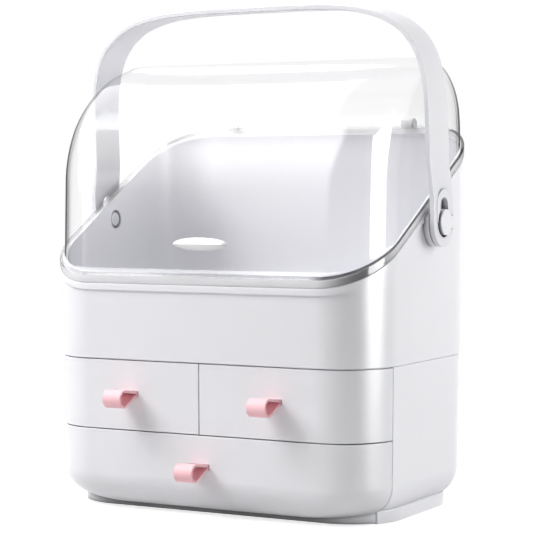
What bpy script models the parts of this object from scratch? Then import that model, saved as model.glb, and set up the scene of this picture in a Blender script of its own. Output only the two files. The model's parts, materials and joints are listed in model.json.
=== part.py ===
"""Dustproof vanity box: a cabinet with three drawers, a slanted tray, a clear hinged lid and a carrying handle.

All pieces are laid out with the cabinet's middle at x = 0, y = 0 and the front towards -Y. The whole box is
then moved along Y so that its overall length is centred on the origin.
"""

import math

import bmesh
import bpy
from mathutils import Matrix, Vector

# Fineness of round shapes, in counts
corner_steps = 8
circle_steps = 32
rounding_steps = 6
hood_steps = 14
settling_passes = 4

# Room between pieces
seat_gap = 0.0003
running_gap = 0.001
seam = 0.0008
cut_overrun = 0.004
weld_depth = 0.0008

# Cabinet, the lower body
cabinet_width = 0.280
cabinet_depth = 0.1908
cabinet_top = 0.1148
cabinet_corner = 0.0427
cabinet_lean_share = 0.009
cabinet_wall = 0.0025
underside = 0.0033
underside_round = 0.025
front_swell_share = 0.16
side_seam_setback = 0.0394
shelf_drop = 0.0007
shelf_thickness = 0.002
front_seam_z = 0.0616
ledge_depth = 0.004
ledge_height = 0.002
side_ledge_length = 0.100
rear_ledge_length = 0.120
divider_thickness = 0.002

# Base plate
plinth_height = 0.0094
plinth_side_inset = 0.0055
plinth_front_inset = 0.0224
plinth_rear_inset = 0.0164
plinth_corner = 0.042
plinth_skirt = 0.0025
plinth_plate = 0.003
plinth_rail_width = 0.012
plinth_floor_gap = 0.0006

# Drawers
front_wall = 0.0025
box_wall = 0.002
box_front_gap = 0.0004
box_side_gap = 0.0015
box_rear_gap = 0.003
box_floor_gap = 0.0006
box_inner_corner = 0.003
small_box_headroom = 0.0043
bottom_box_headroom = 0.002

# Pull straps
strap_width = 0.0153
strap_thickness = 0.0018
strap_reach = 0.0242
strap_nose = 0.0068
strap_nose_drop = 0.0024
strap_bead_length = 0.0015
strap_bead_height = 0.0066
strap_slot_gap = 0.0004
strap_slot_side_gap = 0.0008
clip_width = 0.022
clip_height = 0.010
clip_thickness = 0.003
small_pull_inset = 0.0087
small_pull_rise = 0.0279
bottom_pull_drop = 0.0234

# Tray, the upper body
tray_front_height = 0.0582
tray_proud = 0.0005
tray_lean_share = 0.014
tray_wall = 0.0025
tray_floor = 0.0024
tray_floor_round = 0.006
locator_depth = 0.0028
locator_wall = 0.002
locator_gap = 0.001
rim_angle = math.radians(30)
lip_height = 0.0047
lip_proud = 0.0012
tongue_height = 0.0035
tongue_wall = 0.001

# Clear lid
flange_height = 0.007
flange_wall = 0.002
hood_wall = 0.0022
hood_height = 0.1677
hood_side_proud = 0.0008
hood_front_inset = 0.0024
hood_front_rise = 0.0067
hood_lean_share = 0.05
hood_rear_inset = 0.0024
hood_flat_depth = 0.03795
hood_top_corner = 0.038
front_curve_height = 0.0913
front_curve_power = 1.87
rear_curve_height = 0.040
rear_curve_depth = 0.040
side_curve_height = 0.055
side_curve_depth = 0.009
side_curve_power = 1.5
lid_gap = 0.00035

# Lid grip
grip_half_width = 0.023
grip_half_height = 0.0048
grip_edge = 0.001
grip_depth = 0.004
grip_rise = 0.0293
grip_ridge_shares = (0.88, 0.14)

# Lid hinge
hinge_setback = 0.0085
hinge_drop = 0.00287
hinge_inset = 0.060
hook_width = 0.0096
hook_thickness = 0.0032
hook_rise = 0.0131
hook_leg_setback = 0.0011
eye_radius = 0.0032
pin_radius = 0.0015
pin_head_radius = 0.0024
pin_head_length = 0.0008
ear_thickness = 0.0028
ear_gap = 0.0004
ear_foot_drop = 0.012
ear_root_drop = 0.0023

# Handle
pivot_y = 0.00805
pivot_drop = 0.01503
handle_tilt = math.radians(2.96)
handle_width = 0.0346
handle_thickness = 0.0038
handle_side_gap = 0.0049
handle_spread = 0.0025
handle_straight = 0.0432
handle_grip_room = 0.0417
handle_arch_power = 4.23
handle_end_radius = 0.0185
arch_steps = 24
end_steps = 8
keyhole_radius = 0.0113
keyhole_lobe_half = 0.0066
keyhole_reach = 0.0186

# Handle stud, its boss on the tray and its screw
boss_radius = 0.0185
stud_radius = 0.0098
stud_proud = 0.0023
stud_edge = 0.0006
tab_half_width = 0.0046
tab_reach = 0.0175
spigot_radius = 0.004
pocket_radius = 0.0074
pocket_depth = 0.003
screw_head_radius = 0.0055
screw_head_length = 0.0022
screw_radius = 0.0016
screw_length = 0.007

# Sizes that follow from the ones above
half_width = cabinet_width / 2
half_depth = cabinet_depth / 2
rounding_centre = underside + underside_round
shell_bottom = plinth_height + seat_gap
shell_floor = shell_bottom + cabinet_wall
side_seam_y = side_seam_setback - half_depth
shelf_top = front_seam_z - shelf_drop
shelf_bottom = shelf_top - shelf_thickness
plinth_half_x = half_width - plinth_side_inset
plinth_front = plinth_front_inset - half_depth
plinth_rear = half_depth - plinth_rear_inset
small_pull_x = half_width / 2 - small_pull_inset
small_pull_z = front_seam_z + small_pull_rise
bottom_pull_z = front_seam_z - bottom_pull_drop
tray_bottom = cabinet_top + seat_gap
rim_front_z = tray_bottom + tray_front_height
rim_front_y = -half_depth
rim_rise = math.tan(rim_angle)


def lean_at(height):
    """How far the cabinet's wall has drawn in at this height."""
    return cabinet_lean_share * (cabinet_top - height)


def rim_over(rise):
    """The slanted rim plane raised by rise, as a function of y."""
    return lambda y: rim_front_z + rise + rim_rise * (y - rim_front_y)


hood_top = rim_front_z + hood_height
hood_half_x = half_width + hood_side_proud
hood_front = half_depth - hood_front_inset
hood_front_z = rim_front_z + hood_front_rise
hood_rear = half_depth - hood_rear_inset
hood_run = hood_front + hood_rear - hood_lean_share * (hood_top - hood_front_z)
front_curve_depth = hood_run - rear_curve_depth - hood_flat_depth
front_curve_z = hood_top - front_curve_height
rear_curve_z = hood_top - rear_curve_height
side_curve_z = hood_top - side_curve_height
grip_z = rim_front_z + grip_rise
hinge_y = half_depth + hinge_setback
hinge_z = rim_over(-hinge_drop)(hinge_y)
hinge_x = half_width - hinge_inset
hook_top = hinge_z + hook_rise
hook_leg_y = half_depth + hook_leg_setback
pivot_z = rim_over(-pivot_drop)(pivot_y)
handle_half_span = half_width + handle_side_gap + handle_thickness
handle_pivot_span = handle_half_span + handle_spread
handle_arch = hood_top + handle_grip_room - pivot_z - handle_straight
front_reach = half_depth - lean_at(small_pull_z) + strap_reach
rear_reach = hinge_y + eye_radius
body_shift = Vector((0, (front_reach - rear_reach) / 2, 0))


# Mesh building


def finished(mesh, name):
    """Mesh data with its faces turned outwards and its round faces smooth."""
    bmesh.ops.recalc_face_normals(mesh, faces=mesh.faces)
    data = bpy.data.meshes.new(name)
    mesh.to_mesh(data)
    mesh.free()
    data.shade_smooth()
    data.set_sharp_from_angle(angle=math.radians(30))
    return data


def skin(name, rings):
    """A closed solid stretched over successive rings of points, with its first and last rings filled in."""
    mesh = bmesh.new()
    rows = [[mesh.verts.new(point) for point in ring] for ring in rings]
    for low, high in zip(rows, rows[1:]):
        for here in range(len(low)):
            after = (here + 1) % len(low)
            mesh.faces.new((low[here], low[after], high[after], high[here]))
    mesh.faces.new(rows[0][::-1])
    mesh.faces.new(rows[-1])
    return finished(mesh, name)


def panel(name, outer, inner):
    """A closed solid between two matching grids of points, such as the two faces of a curved panel."""
    mesh = bmesh.new()
    grids = [[[mesh.verts.new(point) for point in row] for row in grid] for grid in (outer, inner)]
    rows = len(outer)
    columns = len(outer[0])
    for grid in grids:
        for row in range(rows - 1):
            for column in range(columns - 1):
                mesh.faces.new(
                    (grid[row][column], grid[row][column + 1], grid[row + 1][column + 1], grid[row + 1][column])
                )
    border = [(0, column) for column in range(columns)]
    border += [(row, columns - 1) for row in range(1, rows)]
    border += [(rows - 1, column) for column in range(columns - 2, -1, -1)]
    border += [(row, 0) for row in range(rows - 2, 0, -1)]
    for (row, column), (next_row, next_column) in zip(border, border[1:] + border[:1]):
        mesh.faces.new(
            (
                grids[0][row][column],
                grids[1][row][column],
                grids[1][next_row][next_column],
                grids[0][next_row][next_column],
            )
        )
    return finished(mesh, name)


def arc(centre, radius, start, end, steps):
    """Points along an arc, with its angles in degrees."""
    angles = [math.radians(start + (end - start) * step / steps) for step in range(steps + 1)]
    return [(centre[0] + radius * math.cos(a), centre[1] + radius * math.sin(a)) for a in angles]


def plan_outline(left, right, front, rear, radii):
    """A rounded rectangle in plan, anticlockwise from its front left corner, with a radius for each corner."""
    corners = (
        ((left + radii[0], front + radii[0]), 180),
        ((right - radii[1], front + radii[1]), 270),
        ((right - radii[2], rear - radii[2]), 0),
        ((left + radii[3], rear - radii[3]), 90),
    )
    points = []
    for (centre, start), radius in zip(corners, radii):
        points += arc(centre, radius, start, start + 90, corner_steps)
    return points


def level(outline, height):
    """The outline as a ring at one height."""
    return [(x, y, height) for x, y in outline]


def slanted(outline_at, height_over):
    """A ring where the upright lines of a wall meet a slanted surface, found by a few passes."""
    heights = [height_over(0) for _ in outline_at(height_over(0))]
    for _ in range(settling_passes):
        heights = [height_over(outline_at(height)[place][1]) for place, height in enumerate(heights)]
    return [(*outline_at(height)[place], height) for place, height in enumerate(heights)]


def across(outline, x):
    """An outline in Y and Z as a ring at one place along X."""
    return [(x, y, z) for y, z in outline]


def prism(name, outline, left, right):
    """A solid with this outline in Y and Z, between two places along X."""
    return skin(name, [across(outline, left), across(outline, right)])


def block(name, low, high):
    """A plain block between two corners."""
    outline = [(low[1], low[2]), (high[1], low[2]), (high[1], high[2]), (low[1], high[2])]
    return prism(name, outline, low[0], high[0])


def turned(name, profile, centre):
    """A solid turned about a line along X, from (place along X, radius) pairs."""
    rings = [across(arc(centre, radius, 0, 360, circle_steps)[:-1], x) for x, radius in profile]
    return skin(name, rings)


def mirrored(pairs, side):
    """The (place along X, radius) pairs for the right or left side of the box."""
    return [(side * x, radius) for x, radius in pairs]


# Materials


def plastic(name, colour, roughness, alpha=1.0, metallic=0.0):
    """A plain moulded material, or a metal where metallic is 1."""
    material = bpy.data.materials.new(name)
    material.use_nodes = True
    shader = material.node_tree.nodes["Principled BSDF"]
    shader.inputs["Base Color"].default_value = (*colour, 1.0)
    shader.inputs["Roughness"].default_value = roughness
    shader.inputs["Metallic"].default_value = metallic
    shader.inputs["Alpha"].default_value = alpha
    material.diffuse_color = (*colour, alpha)
    return material


def body_material():
    return plastic("satin_white", (0.80, 0.80, 0.83), 0.35)


def inner_material():
    return plastic("inner_white", (0.78, 0.78, 0.80), 0.45)


def clear_material():
    return plastic("clear", (0.90, 0.93, 0.95), 0.05, alpha=0.3)


def grip_material():
    return plastic("gloss_white", (0.86, 0.86, 0.88), 0.15)


def strap_material():
    return plastic("pink_strap", (0.86, 0.66, 0.64), 0.5)


def steel_material():
    return plastic("steel", (0.60, 0.60, 0.62), 0.3, metallic=1.0)


# Placing


def add(name, data, material, origin, tilt=0.0):
    """A piece whose mesh is laid out round the box's middle, given its own origin. A tilted mesh is laid out untilted."""
    data.materials.append(material)
    if not tilt:
        data.transform(Matrix.Translation(-origin))
    piece = bpy.data.objects.new(name, data)
    piece.location = origin + body_shift
    piece.rotation_euler.x = tilt
    bpy.context.scene.collection.objects.link(piece)
    return piece


def combine(target, operation, tool_data, tilt=0.0):
    """Joins a tool shape to a piece, or cuts it out."""
    tool = bpy.data.objects.new(tool_data.name, tool_data)
    tool.location = target.location if tilt else body_shift
    tool.rotation_euler.x = tilt
    tool.hide_render = True
    tool.display_type = "WIRE"
    bpy.context.scene.collection.objects.link(tool)
    modifier = target.modifiers.new(tool.name, "BOOLEAN")
    modifier.operation = operation
    modifier.solver = "EXACT"
    modifier.object = tool


# The cabinet's walls


def cabinet_outline(height, inset, gap, forward=0.0):
    """The cabinet's plan this high up, for a wall drawn in by inset, of which gap is its depth inside the outside.

    The front corners keep their radius down the rounding, and the rear ones tighten.
    """
    x = half_width - lean_at(height) - inset
    y = half_depth - lean_at(height) - inset
    front_radius = cabinet_corner - gap + front_swell_share * (inset - gap)
    rear_radius = cabinet_corner - inset
    return plan_outline(-x, x, -y - forward, y, (front_radius, front_radius, rear_radius, rear_radius))


def rounding_levels(lowest, gap):
    """(height, inset) pairs up the cabinet's lower rounding, for a wall this far inside the outside."""
    radius = underside_round - gap
    steepest = math.asin((rounding_centre - lowest) / radius)
    angles = [steepest * (1 - step / rounding_steps) for step in range(rounding_steps + 1)]
    return [(rounding_centre - radius * math.sin(a), gap + radius * (1 - math.cos(a))) for a in angles]


def make_base_plate():
    """A low plate with a skirt and a middle rail to stand on, cut off behind the bottom drawer's front."""
    radii = (plinth_corner,) * 4
    outline = plan_outline(-plinth_half_x, plinth_half_x, plinth_front, plinth_rear, radii)
    plate = add(
        "base_plate",
        skin("base_plate", [level(outline, 0), level(outline, plinth_height)]),
        body_material(),
        Vector((0, 0, 0)),
    )
    front = side_seam_y + seam / 2
    reach = plinth_half_x + cut_overrun
    low = (-reach, plinth_front - cut_overrun, -cut_overrun)
    combine(plate, "DIFFERENCE", block("plinth_front_cut", low, (reach, front, plinth_height + cut_overrun)))
    for side, name in ((-1, "left"), (1, "right")):
        inner = side * plinth_rail_width / 2
        outer = side * (plinth_half_x - plinth_skirt)
        left, right = sorted((inner, outer))
        tight = plinth_skirt
        front_corner = plinth_front + plinth_corner - front - plinth_skirt
        rear_corner = plinth_corner - plinth_skirt
        radii = (front_corner, tight, tight, rear_corner) if side < 0 else (tight, front_corner, rear_corner, tight)
        pocket = plan_outline(left, right, front + plinth_skirt, plinth_rear - plinth_skirt, radii)
        rings = [level(pocket, -cut_overrun), level(pocket, plinth_height - plinth_plate)]
        combine(plate, "DIFFERENCE", skin(f"plinth_pocket_{name}", rings))


def make_cabinet_shell():
    """The lower body, open above and in front, with ledges for the shelf."""
    rings = [
        level(cabinet_outline(height, inset, 0), height) for height, inset in rounding_levels(shell_bottom, 0)
    ]
    rings.append(level(cabinet_outline(cabinet_top, 0, 0), cabinet_top))
    rings.append(level(cabinet_outline(cabinet_top, cabinet_wall, cabinet_wall), cabinet_top))
    rings += [
        level(cabinet_outline(height, inset, cabinet_wall), height)
        for height, inset in reversed(rounding_levels(shell_floor, cabinet_wall))
    ]
    shell = add("cabinet_shell", skin("cabinet_shell", rings), body_material(), Vector((0, 0, 0)))
    reach = half_width + cut_overrun
    front = side_seam_y + seam / 2
    low = (-reach, -half_depth - cut_overrun, 0)
    combine(shell, "DIFFERENCE", block("cabinet_front_cut", low, (reach, front, cabinet_top + cut_overrun)))
    top = shelf_bottom - seat_gap
    wall_x = half_width - lean_at(top) - cabinet_wall
    wall_y = half_depth - lean_at(top) - cabinet_wall
    for side, name in ((-1, "left"), (1, "right")):
        ends = sorted((side * (wall_x - ledge_depth), side * (wall_x + weld_depth)))
        low = (ends[0], -side_ledge_length / 2, top - ledge_height)
        high = (ends[1], side_ledge_length / 2, top)
        combine(shell, "UNION", block(f"shelf_ledge_{name}", low, high))
    low = (-rear_ledge_length / 2, wall_y - ledge_depth, top - ledge_height)
    high = (rear_ledge_length / 2, wall_y + weld_depth, top)
    combine(shell, "UNION", block("shelf_ledge_rear", low, high))


def make_middle_shelf():
    """The plate between the small drawers and the bottom one, resting on the ledges."""
    gap = cabinet_wall + seat_gap
    x = half_width - lean_at(shelf_bottom) - gap
    rear = half_depth - lean_at(shelf_bottom) - gap
    corner = cabinet_corner - gap
    outline = plan_outline(-x, x, side_seam_y + seam / 2, rear, (running_gap, running_gap, corner, corner))
    data = skin("middle_shelf", [level(outline, shelf_bottom), level(outline, shelf_top)])
    add("middle_shelf", data, inner_material(), Vector((0, 0, 0)))


def make_centre_divider():
    """The upright wall between the two small drawers."""
    rear = half_depth - lean_at(shelf_top) - cabinet_wall - seat_gap
    low = (-divider_thickness / 2, side_seam_y + seam / 2, shelf_top + seat_gap)
    high = (divider_thickness / 2, rear, tray_bottom - locator_depth - seat_gap)
    add("centre_divider", block("centre_divider", low, high), inner_material(), Vector((0, 0, 0)))


# Drawers


def front_path(outline_values, left, right, edge_y):
    """A path along the front of a plan, from left to right, stopping where it reaches edge_y at a rounded corner."""
    x, y, radius = outline_values
    start = math.degrees(math.asin((edge_y + y - radius) / -radius))
    points = []
    if left is None:
        points += arc((radius - x, radius - y), radius, 180 + start, 270, corner_steps)
    else:
        points.append((left, -y))
    if right is None:
        points += arc((x - radius, radius - y), radius, 270, 360 - start, corner_steps)
    else:
        points.append((right, -y))
    return points


def front_rows(levels, gap, left, right):
    """Rows of points up a drawer's front, for the face this far inside the cabinet's outside."""
    rows = []
    for height, inset in levels:
        x = half_width - lean_at(height) - inset
        y = half_depth - lean_at(height) - inset
        radius = cabinet_corner - gap + front_swell_share * (inset - gap)
        path = front_path((x, y, radius), left, right, side_seam_y - seam / 2)
        rows.append(level(path, height))
    return rows


def make_small_front(name, side, origin):
    """A small drawer's front, from the middle seam round its corner to the side seam."""
    low = front_seam_z + seam / 2
    high = tray_bottom - seam
    left = None if side < 0 else seam / 2
    right = -seam / 2 if side < 0 else None
    outer = front_rows([(low, 0), (high, 0)], 0, left, right)
    inner = front_rows([(low, front_wall), (high, front_wall)], front_wall, left, right)
    return add(name, panel(name, outer, inner), body_material(), origin)


def make_bottom_front(origin):
    """The bottom drawer's front, which runs down the rounding and carries the front stretch of the plinth."""
    high = front_seam_z - seam / 2
    lowest = rounding_centre - math.sqrt(underside_round**2 - plinth_skirt**2)
    inner_lowest = lowest + front_wall
    outer = front_rows(rounding_levels(lowest, 0) + [(high, 0)], 0, None, None)
    inner = front_rows(rounding_levels(inner_lowest, front_wall) + [(high, front_wall)], front_wall, None, None)
    front = add("drawer_front_bottom", panel("drawer_front_bottom", outer, inner), body_material(), origin)
    edge = side_seam_y - seam / 2
    skirt = [
        [
            level(front_path((plinth_half_x - gap, -plinth_front - gap, plinth_corner - gap), None, None, edge), z)
            for z in (plinth_floor_gap, plinth_height)
        ]
        for gap in (0, plinth_skirt)
    ]
    combine(front, "UNION", panel("plinth_front_strip", *skirt))
    return front


def box_outline(height, inset, gap, side):
    """The plan of a drawer box this high up. A side of 0 is the full width."""
    forward = cabinet_wall + box_side_gap - front_wall - box_front_gap
    x = half_width - lean_at(height) - inset
    y = half_depth - lean_at(height) - inset
    rear = y - box_rear_gap
    wide = cabinet_corner - gap + front_swell_share * (inset - gap)
    tight = max(box_inner_corner - (gap - cabinet_wall - box_side_gap), box_inner_corner / 3)
    inner_x = divider_thickness / 2 + box_side_gap + gap - cabinet_wall - box_side_gap
    rear_round = cabinet_corner - inset
    if side < 0:
        return plan_outline(-x, -inner_x, -y - forward, rear, (wide, tight, tight, rear_round))
    if side > 0:
        return plan_outline(inner_x, x, -y - forward, rear, (tight, wide, rear_round, tight))
    return plan_outline(-x, x, -y - forward, rear, (wide, wide, rear_round, rear_round))


def make_small_box(name, side, origin):
    """A small drawer's box, open above."""
    outer_gap = cabinet_wall + box_side_gap
    inner_gap = outer_gap + box_wall
    bottom = shelf_top + box_floor_gap
    top = tray_bottom - locator_depth - small_box_headroom
    rings = [
        level(box_outline(bottom, outer_gap, outer_gap, side), bottom),
        level(box_outline(top, outer_gap, outer_gap, side), top),
        level(box_outline(top, inner_gap, inner_gap, side), top),
        level(box_outline(bottom + box_wall, inner_gap, inner_gap, side), bottom + box_wall),
    ]
    return add(name, skin(name, rings), inner_material(), origin)


def make_bottom_box(origin):
    """The bottom drawer's box, which follows the cabinet's rounding, open above."""
    outer_gap = cabinet_wall + box_side_gap
    inner_gap = outer_gap + box_wall
    bottom = shell_floor + box_floor_gap
    top = shelf_bottom - seat_gap - ledge_height - bottom_box_headroom
    rings = [
        level(box_outline(height, inset, outer_gap, 0), height)
        for height, inset in rounding_levels(bottom, outer_gap)
    ]
    rings.append(level(box_outline(top, outer_gap, outer_gap, 0), top))
    rings.append(level(box_outline(top, inner_gap, inner_gap, 0), top))
    rings += [
        level(box_outline(height, inset, inner_gap, 0), height)
        for height, inset in reversed(rounding_levels(bottom + box_wall, inner_gap))
    ]
    return add("drawer_box_bottom", skin("drawer_box_bottom", rings), inner_material(), origin)


def strap_outlines():
    """The strap's side view as (outer outline, hole outline), forward from the front face and up from its slot."""
    centre = (strap_reach - strap_nose, -strap_nose_drop)
    slopes = []
    for side in (1, -1):
        root = (0, side * strap_thickness)
        to_centre = math.atan2(centre[1] - root[1], centre[0] - root[0])
        slopes.append(to_centre + side * math.asin(strap_nose / math.dist(root, centre)))
    upper, lower = slopes
    start = 90 + math.degrees(upper)
    end = math.degrees(lower) - 90
    depth = front_wall + box_front_gap + box_wall + seat_gap + clip_thickness + seat_gap
    tail = -depth - strap_bead_length
    bead = strap_bead_height / 2
    outer = arc(centre, strap_nose, start, end, 2 * corner_steps)
    outer += [(0, -strap_thickness), (-depth, -strap_thickness), (-depth, -bead), (tail, -bead)]
    outer += [(tail, bead), (-depth, bead), (-depth, strap_thickness), (0, strap_thickness)]
    inner = arc(centre, strap_nose - strap_thickness, start, end, 2 * corner_steps)
    first = inner[0]
    last = inner[-1]
    rise = last[1] - first[1] + first[0] * math.tan(upper) - last[0] * math.tan(lower)
    crease = rise / (math.tan(upper) - math.tan(lower))
    inner.append((crease, first[1] + (crease - first[0]) * math.tan(upper)))
    return outer, inner


def pull_slot(name, x, middle, back, front):
    """A cutter for the slot that the strap passes through."""
    across_half = strap_width / 2 + strap_slot_side_gap
    up_half = strap_thickness + strap_slot_gap
    return block(name, (x - across_half, back, middle - up_half), (x + across_half, front, middle + up_half))


def make_pull(name, x, middle, front, box, origin):
    """A strap looped through the drawer's front and box, and the clip that keeps it inside."""
    face = -half_depth + lean_at(middle)
    box_back = face + front_wall + box_front_gap + box_wall
    for piece, label in ((front, "front"), (box, "box")):
        data = pull_slot(f"{name}_{label}_slot", x, middle, face - cut_overrun, box_back + cut_overrun)
        combine(piece, "DIFFERENCE", data)
    outer, inner = strap_outlines()
    left = x - strap_width / 2
    right = x + strap_width / 2
    body = prism(f"pull_{name}", [(face - u, middle + v) for u, v in outer], left, right)
    strap = add(f"pull_{name}", body, strap_material(), origin)
    hole = [(face - u, middle + v) for u, v in inner]
    combine(strap, "DIFFERENCE", prism(f"{name}_loop_hole", hole, left - cut_overrun, right + cut_overrun))
    clip_back = box_back + seat_gap
    low = (x - clip_width / 2, clip_back, middle - clip_height / 2)
    high = (x + clip_width / 2, clip_back + clip_thickness, middle + clip_height / 2)
    clip = add(f"pull_clip_{name}", block(f"pull_clip_{name}", low, high), inner_material(), origin)
    slot_back = clip_back - cut_overrun
    slot_front = clip_back + clip_thickness + cut_overrun
    combine(clip, "DIFFERENCE", pull_slot(f"{name}_clip_slot", x, middle, slot_back, slot_front))


def make_drawers():
    for side, name in ((-1, "left"), (1, "right")):
        origin = Vector((side * small_pull_x, -half_depth, small_pull_z))
        front = make_small_front(f"drawer_front_{name}", side, origin)
        box = make_small_box(f"drawer_box_{name}", side, origin)
        make_pull(name, side * small_pull_x, small_pull_z, front, box, origin)
    origin = Vector((0, -half_depth, bottom_pull_z))
    make_pull("bottom", 0, bottom_pull_z, make_bottom_front(origin), make_bottom_box(origin), origin)


# Tray


def tray_outline(gap):
    """The tray's plan as a function of height, for a face this far inside its outside."""

    def outline_at(height):
        out = tray_proud + tray_lean_share * (height - tray_bottom) - gap
        x = half_width + out
        y = half_depth + out
        return plan_outline(-x, x, -y, y, (cabinet_corner + out,) * 4)

    return outline_at


def tray_side(height):
    """How far out the tray's side wall is at this height."""
    return half_width + tray_proud + tray_lean_share * (height - tray_bottom)


boss_face = handle_pivot_span - handle_thickness - seat_gap
pocket_floor = tray_side(pivot_z) - tray_wall + pocket_depth


def boss_outline():
    """The round boss in Y and Z, with its top cut off flat under the rim."""
    flat = math.cos(rim_angle) * (rim_over(0)(pivot_y) - pivot_z) - seat_gap
    normal = math.pi / 2 + rim_angle
    points = []
    for step in range(circle_steps):
        angle = 2 * math.pi * step / circle_steps
        towards = math.cos(angle - normal)
        radius = min(boss_radius, flat / towards) if towards > 0 else boss_radius
        points.append((pivot_y + radius * math.cos(angle), pivot_z + radius * math.sin(angle)))
    return points


def ear_outline():
    """A hinge ear in Y and Z: an eye round the pin, joined to the tray's rear wall."""
    root_z = hinge_z - ear_root_drop
    root_y = half_depth + tray_proud + tray_lean_share * (root_z - tray_bottom) - tray_wall / 3
    outline = [(root_y, root_z)]
    outline += arc((hinge_y, hinge_z), eye_radius, 180, -45, corner_steps)
    outline.append((root_y, hinge_z - ear_foot_drop))
    return outline


def make_tray():
    """The upper body: a deep tray with a slanted rim, a lip, a tongue inside the lid, bosses and hinge ears."""
    inside = cabinet_wall + locator_gap
    locator = cabinet_outline(cabinet_top, inside, inside)
    locator_inner = cabinet_outline(cabinet_top, inside + locator_wall, inside + locator_wall)
    locator_bottom = tray_bottom - locator_depth
    wall = tray_outline(0)
    lip = tray_outline(-lip_proud)
    tongue = tray_outline(tray_wall - tongue_wall)
    inner = tray_outline(tray_wall)
    floor = tray_bottom + tray_floor
    rings = [
        level(locator_inner, tray_bottom),
        level(locator_inner, locator_bottom),
        level(locator, locator_bottom),
        level(locator, tray_bottom),
        level(wall(tray_bottom), tray_bottom),
        slanted(wall, rim_over(-lip_height - lip_proud / 2)),
        slanted(lip, rim_over(-lip_height)),
        slanted(lip, rim_over(0)),
        slanted(tongue, rim_over(0)),
        slanted(tongue, rim_over(tongue_height)),
        slanted(inner, rim_over(tongue_height)),
    ]
    for step in range(rounding_steps // 2 + 1):
        angle = math.pi / 2 * step / (rounding_steps // 2)
        height = floor + tray_floor_round * (1 - math.sin(angle))
        gap = tray_wall + tray_floor_round * (1 - math.cos(angle))
        rings.append(level(tray_outline(gap)(height), height))
    tray = add("tray", skin("tray", rings), body_material(), Vector((0, 0, 0)))
    side_wall = tray_side(pivot_z)
    hole = spigot_radius + seat_gap
    for side, name in ((-1, "left"), (1, "right")):
        ends = sorted((side * (side_wall - weld_depth), side * boss_face))
        combine(tray, "UNION", prism(f"boss_{name}", boss_outline(), *ends))
        for ear_side, ear in ((-1, "inner"), (1, "outer")):
            near = hinge_x + ear_side * (hook_width / 2 + ear_gap)
            ends = sorted((side * near, side * (near + ear_side * ear_thickness)))
            combine(tray, "UNION", prism(f"ear_{name}_{ear}", ear_outline(), *ends))
        profile = [(side_wall - tray_wall - cut_overrun, pocket_radius), (pocket_floor, pocket_radius)]
        profile += [(pocket_floor, hole), (boss_face + cut_overrun, hole)]
        drill = turned(f"stud_hole_{name}", mirrored(profile, side), (pivot_y, pivot_z))
        combine(tray, "DIFFERENCE", drill)
        reach = hook_width / 2 + ear_gap + ear_thickness + cut_overrun
        profile = [(hinge_x - reach, pin_radius + seat_gap), (hinge_x + reach, pin_radius + seat_gap)]
        drill = turned(f"ear_hole_{name}", mirrored(profile, side), (hinge_y, hinge_z))
        combine(tray, "DIFFERENCE", drill)


def make_hinge_pins():
    """Pins with a small head at each end, through the tray's ears and the lid's hooks."""
    reach = hook_width / 2 + ear_gap + ear_thickness + seat_gap
    for side, name in ((-1, "left"), (1, "right")):
        profile = [
            (hinge_x - reach - pin_head_length, pin_head_radius),
            (hinge_x - reach, pin_head_radius),
            (hinge_x - reach, pin_radius),
            (hinge_x + reach, pin_radius),
            (hinge_x + reach, pin_head_radius),
            (hinge_x + reach + pin_head_length, pin_head_radius),
        ]
        data = turned(f"hinge_pin_{name}", mirrored(profile, side), (hinge_y, hinge_z))
        add(f"hinge_pin_{name}", data, steel_material(), Vector((0, hinge_y, hinge_z)))


# Lid


def curve_inset(height, start, top, depth, power):
    """How far a wall has curved in at this height, from upright at start to flat at top."""
    share = min(max((height - start) / (top - start), 0), 1)
    return depth * (1 - (1 - share**power) ** (1 / power))


def hood_outline(wall):
    """The clear hood's plan as a function of height, for a face this far inside its outside."""
    top = hood_top - wall

    def outline_at(height):
        side = curve_inset(height, side_curve_z, top, side_curve_depth, side_curve_power)
        front = curve_inset(height, front_curve_z, top, front_curve_depth, front_curve_power)
        rear = curve_inset(height, rear_curve_z, top, rear_curve_depth, 2)
        x = hood_half_x - wall - side
        y_front = -hood_front + hood_lean_share * (height - hood_front_z) + wall + front
        y_rear = hood_rear - wall - rear
        share = min(max((height - hood_front_z) / (top - hood_front_z), 0), 1)
        radius = cabinet_corner + (hood_top_corner - cabinet_corner) * share - wall
        radius = min(radius, (y_rear - y_front) / 2 - seat_gap)
        return plan_outline(-x, x, y_front, y_rear, (radius,) * 4)

    return outline_at


def hood_rings(wall, base_rise):
    """Rings up the hood, from the slanted rim raised by base_rise to the flat top, closer together near the top."""
    outline_at = hood_outline(wall)
    top = hood_top - wall
    base = rim_over(base_rise)
    rings = []
    for step in range(hood_steps):
        share = math.sin(math.pi / 2 * step / hood_steps)
        rings.append(slanted(outline_at, lambda y, share=share: base(y) + (top - base(y)) * share))
    rings.append(level(outline_at(top), top))
    return rings


def hook_outline():
    """A lid hook in Y and Z: up from the flange, over, and down to an eye round the pin."""
    half = hook_thickness / 2
    reach = (hinge_y - hook_leg_y) / 2
    arch_y = hook_leg_y + reach
    arch_z = hook_top - reach - half
    foot = rim_over(flange_height - flange_wall / 2)
    opening = math.degrees(math.acos(half / eye_radius))
    outline = [(hook_leg_y - half, foot(hook_leg_y - half))]
    outline += arc((arch_y, arch_z), reach + half, 180, 0, corner_steps)
    outline += arc((hinge_y, hinge_z), eye_radius, opening, -180 - opening, 2 * corner_steps)
    outline += arc((arch_y, arch_z), reach - half, 0, 180, corner_steps)
    outline.append((hook_leg_y + half, foot(hook_leg_y + half)))
    return outline


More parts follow.
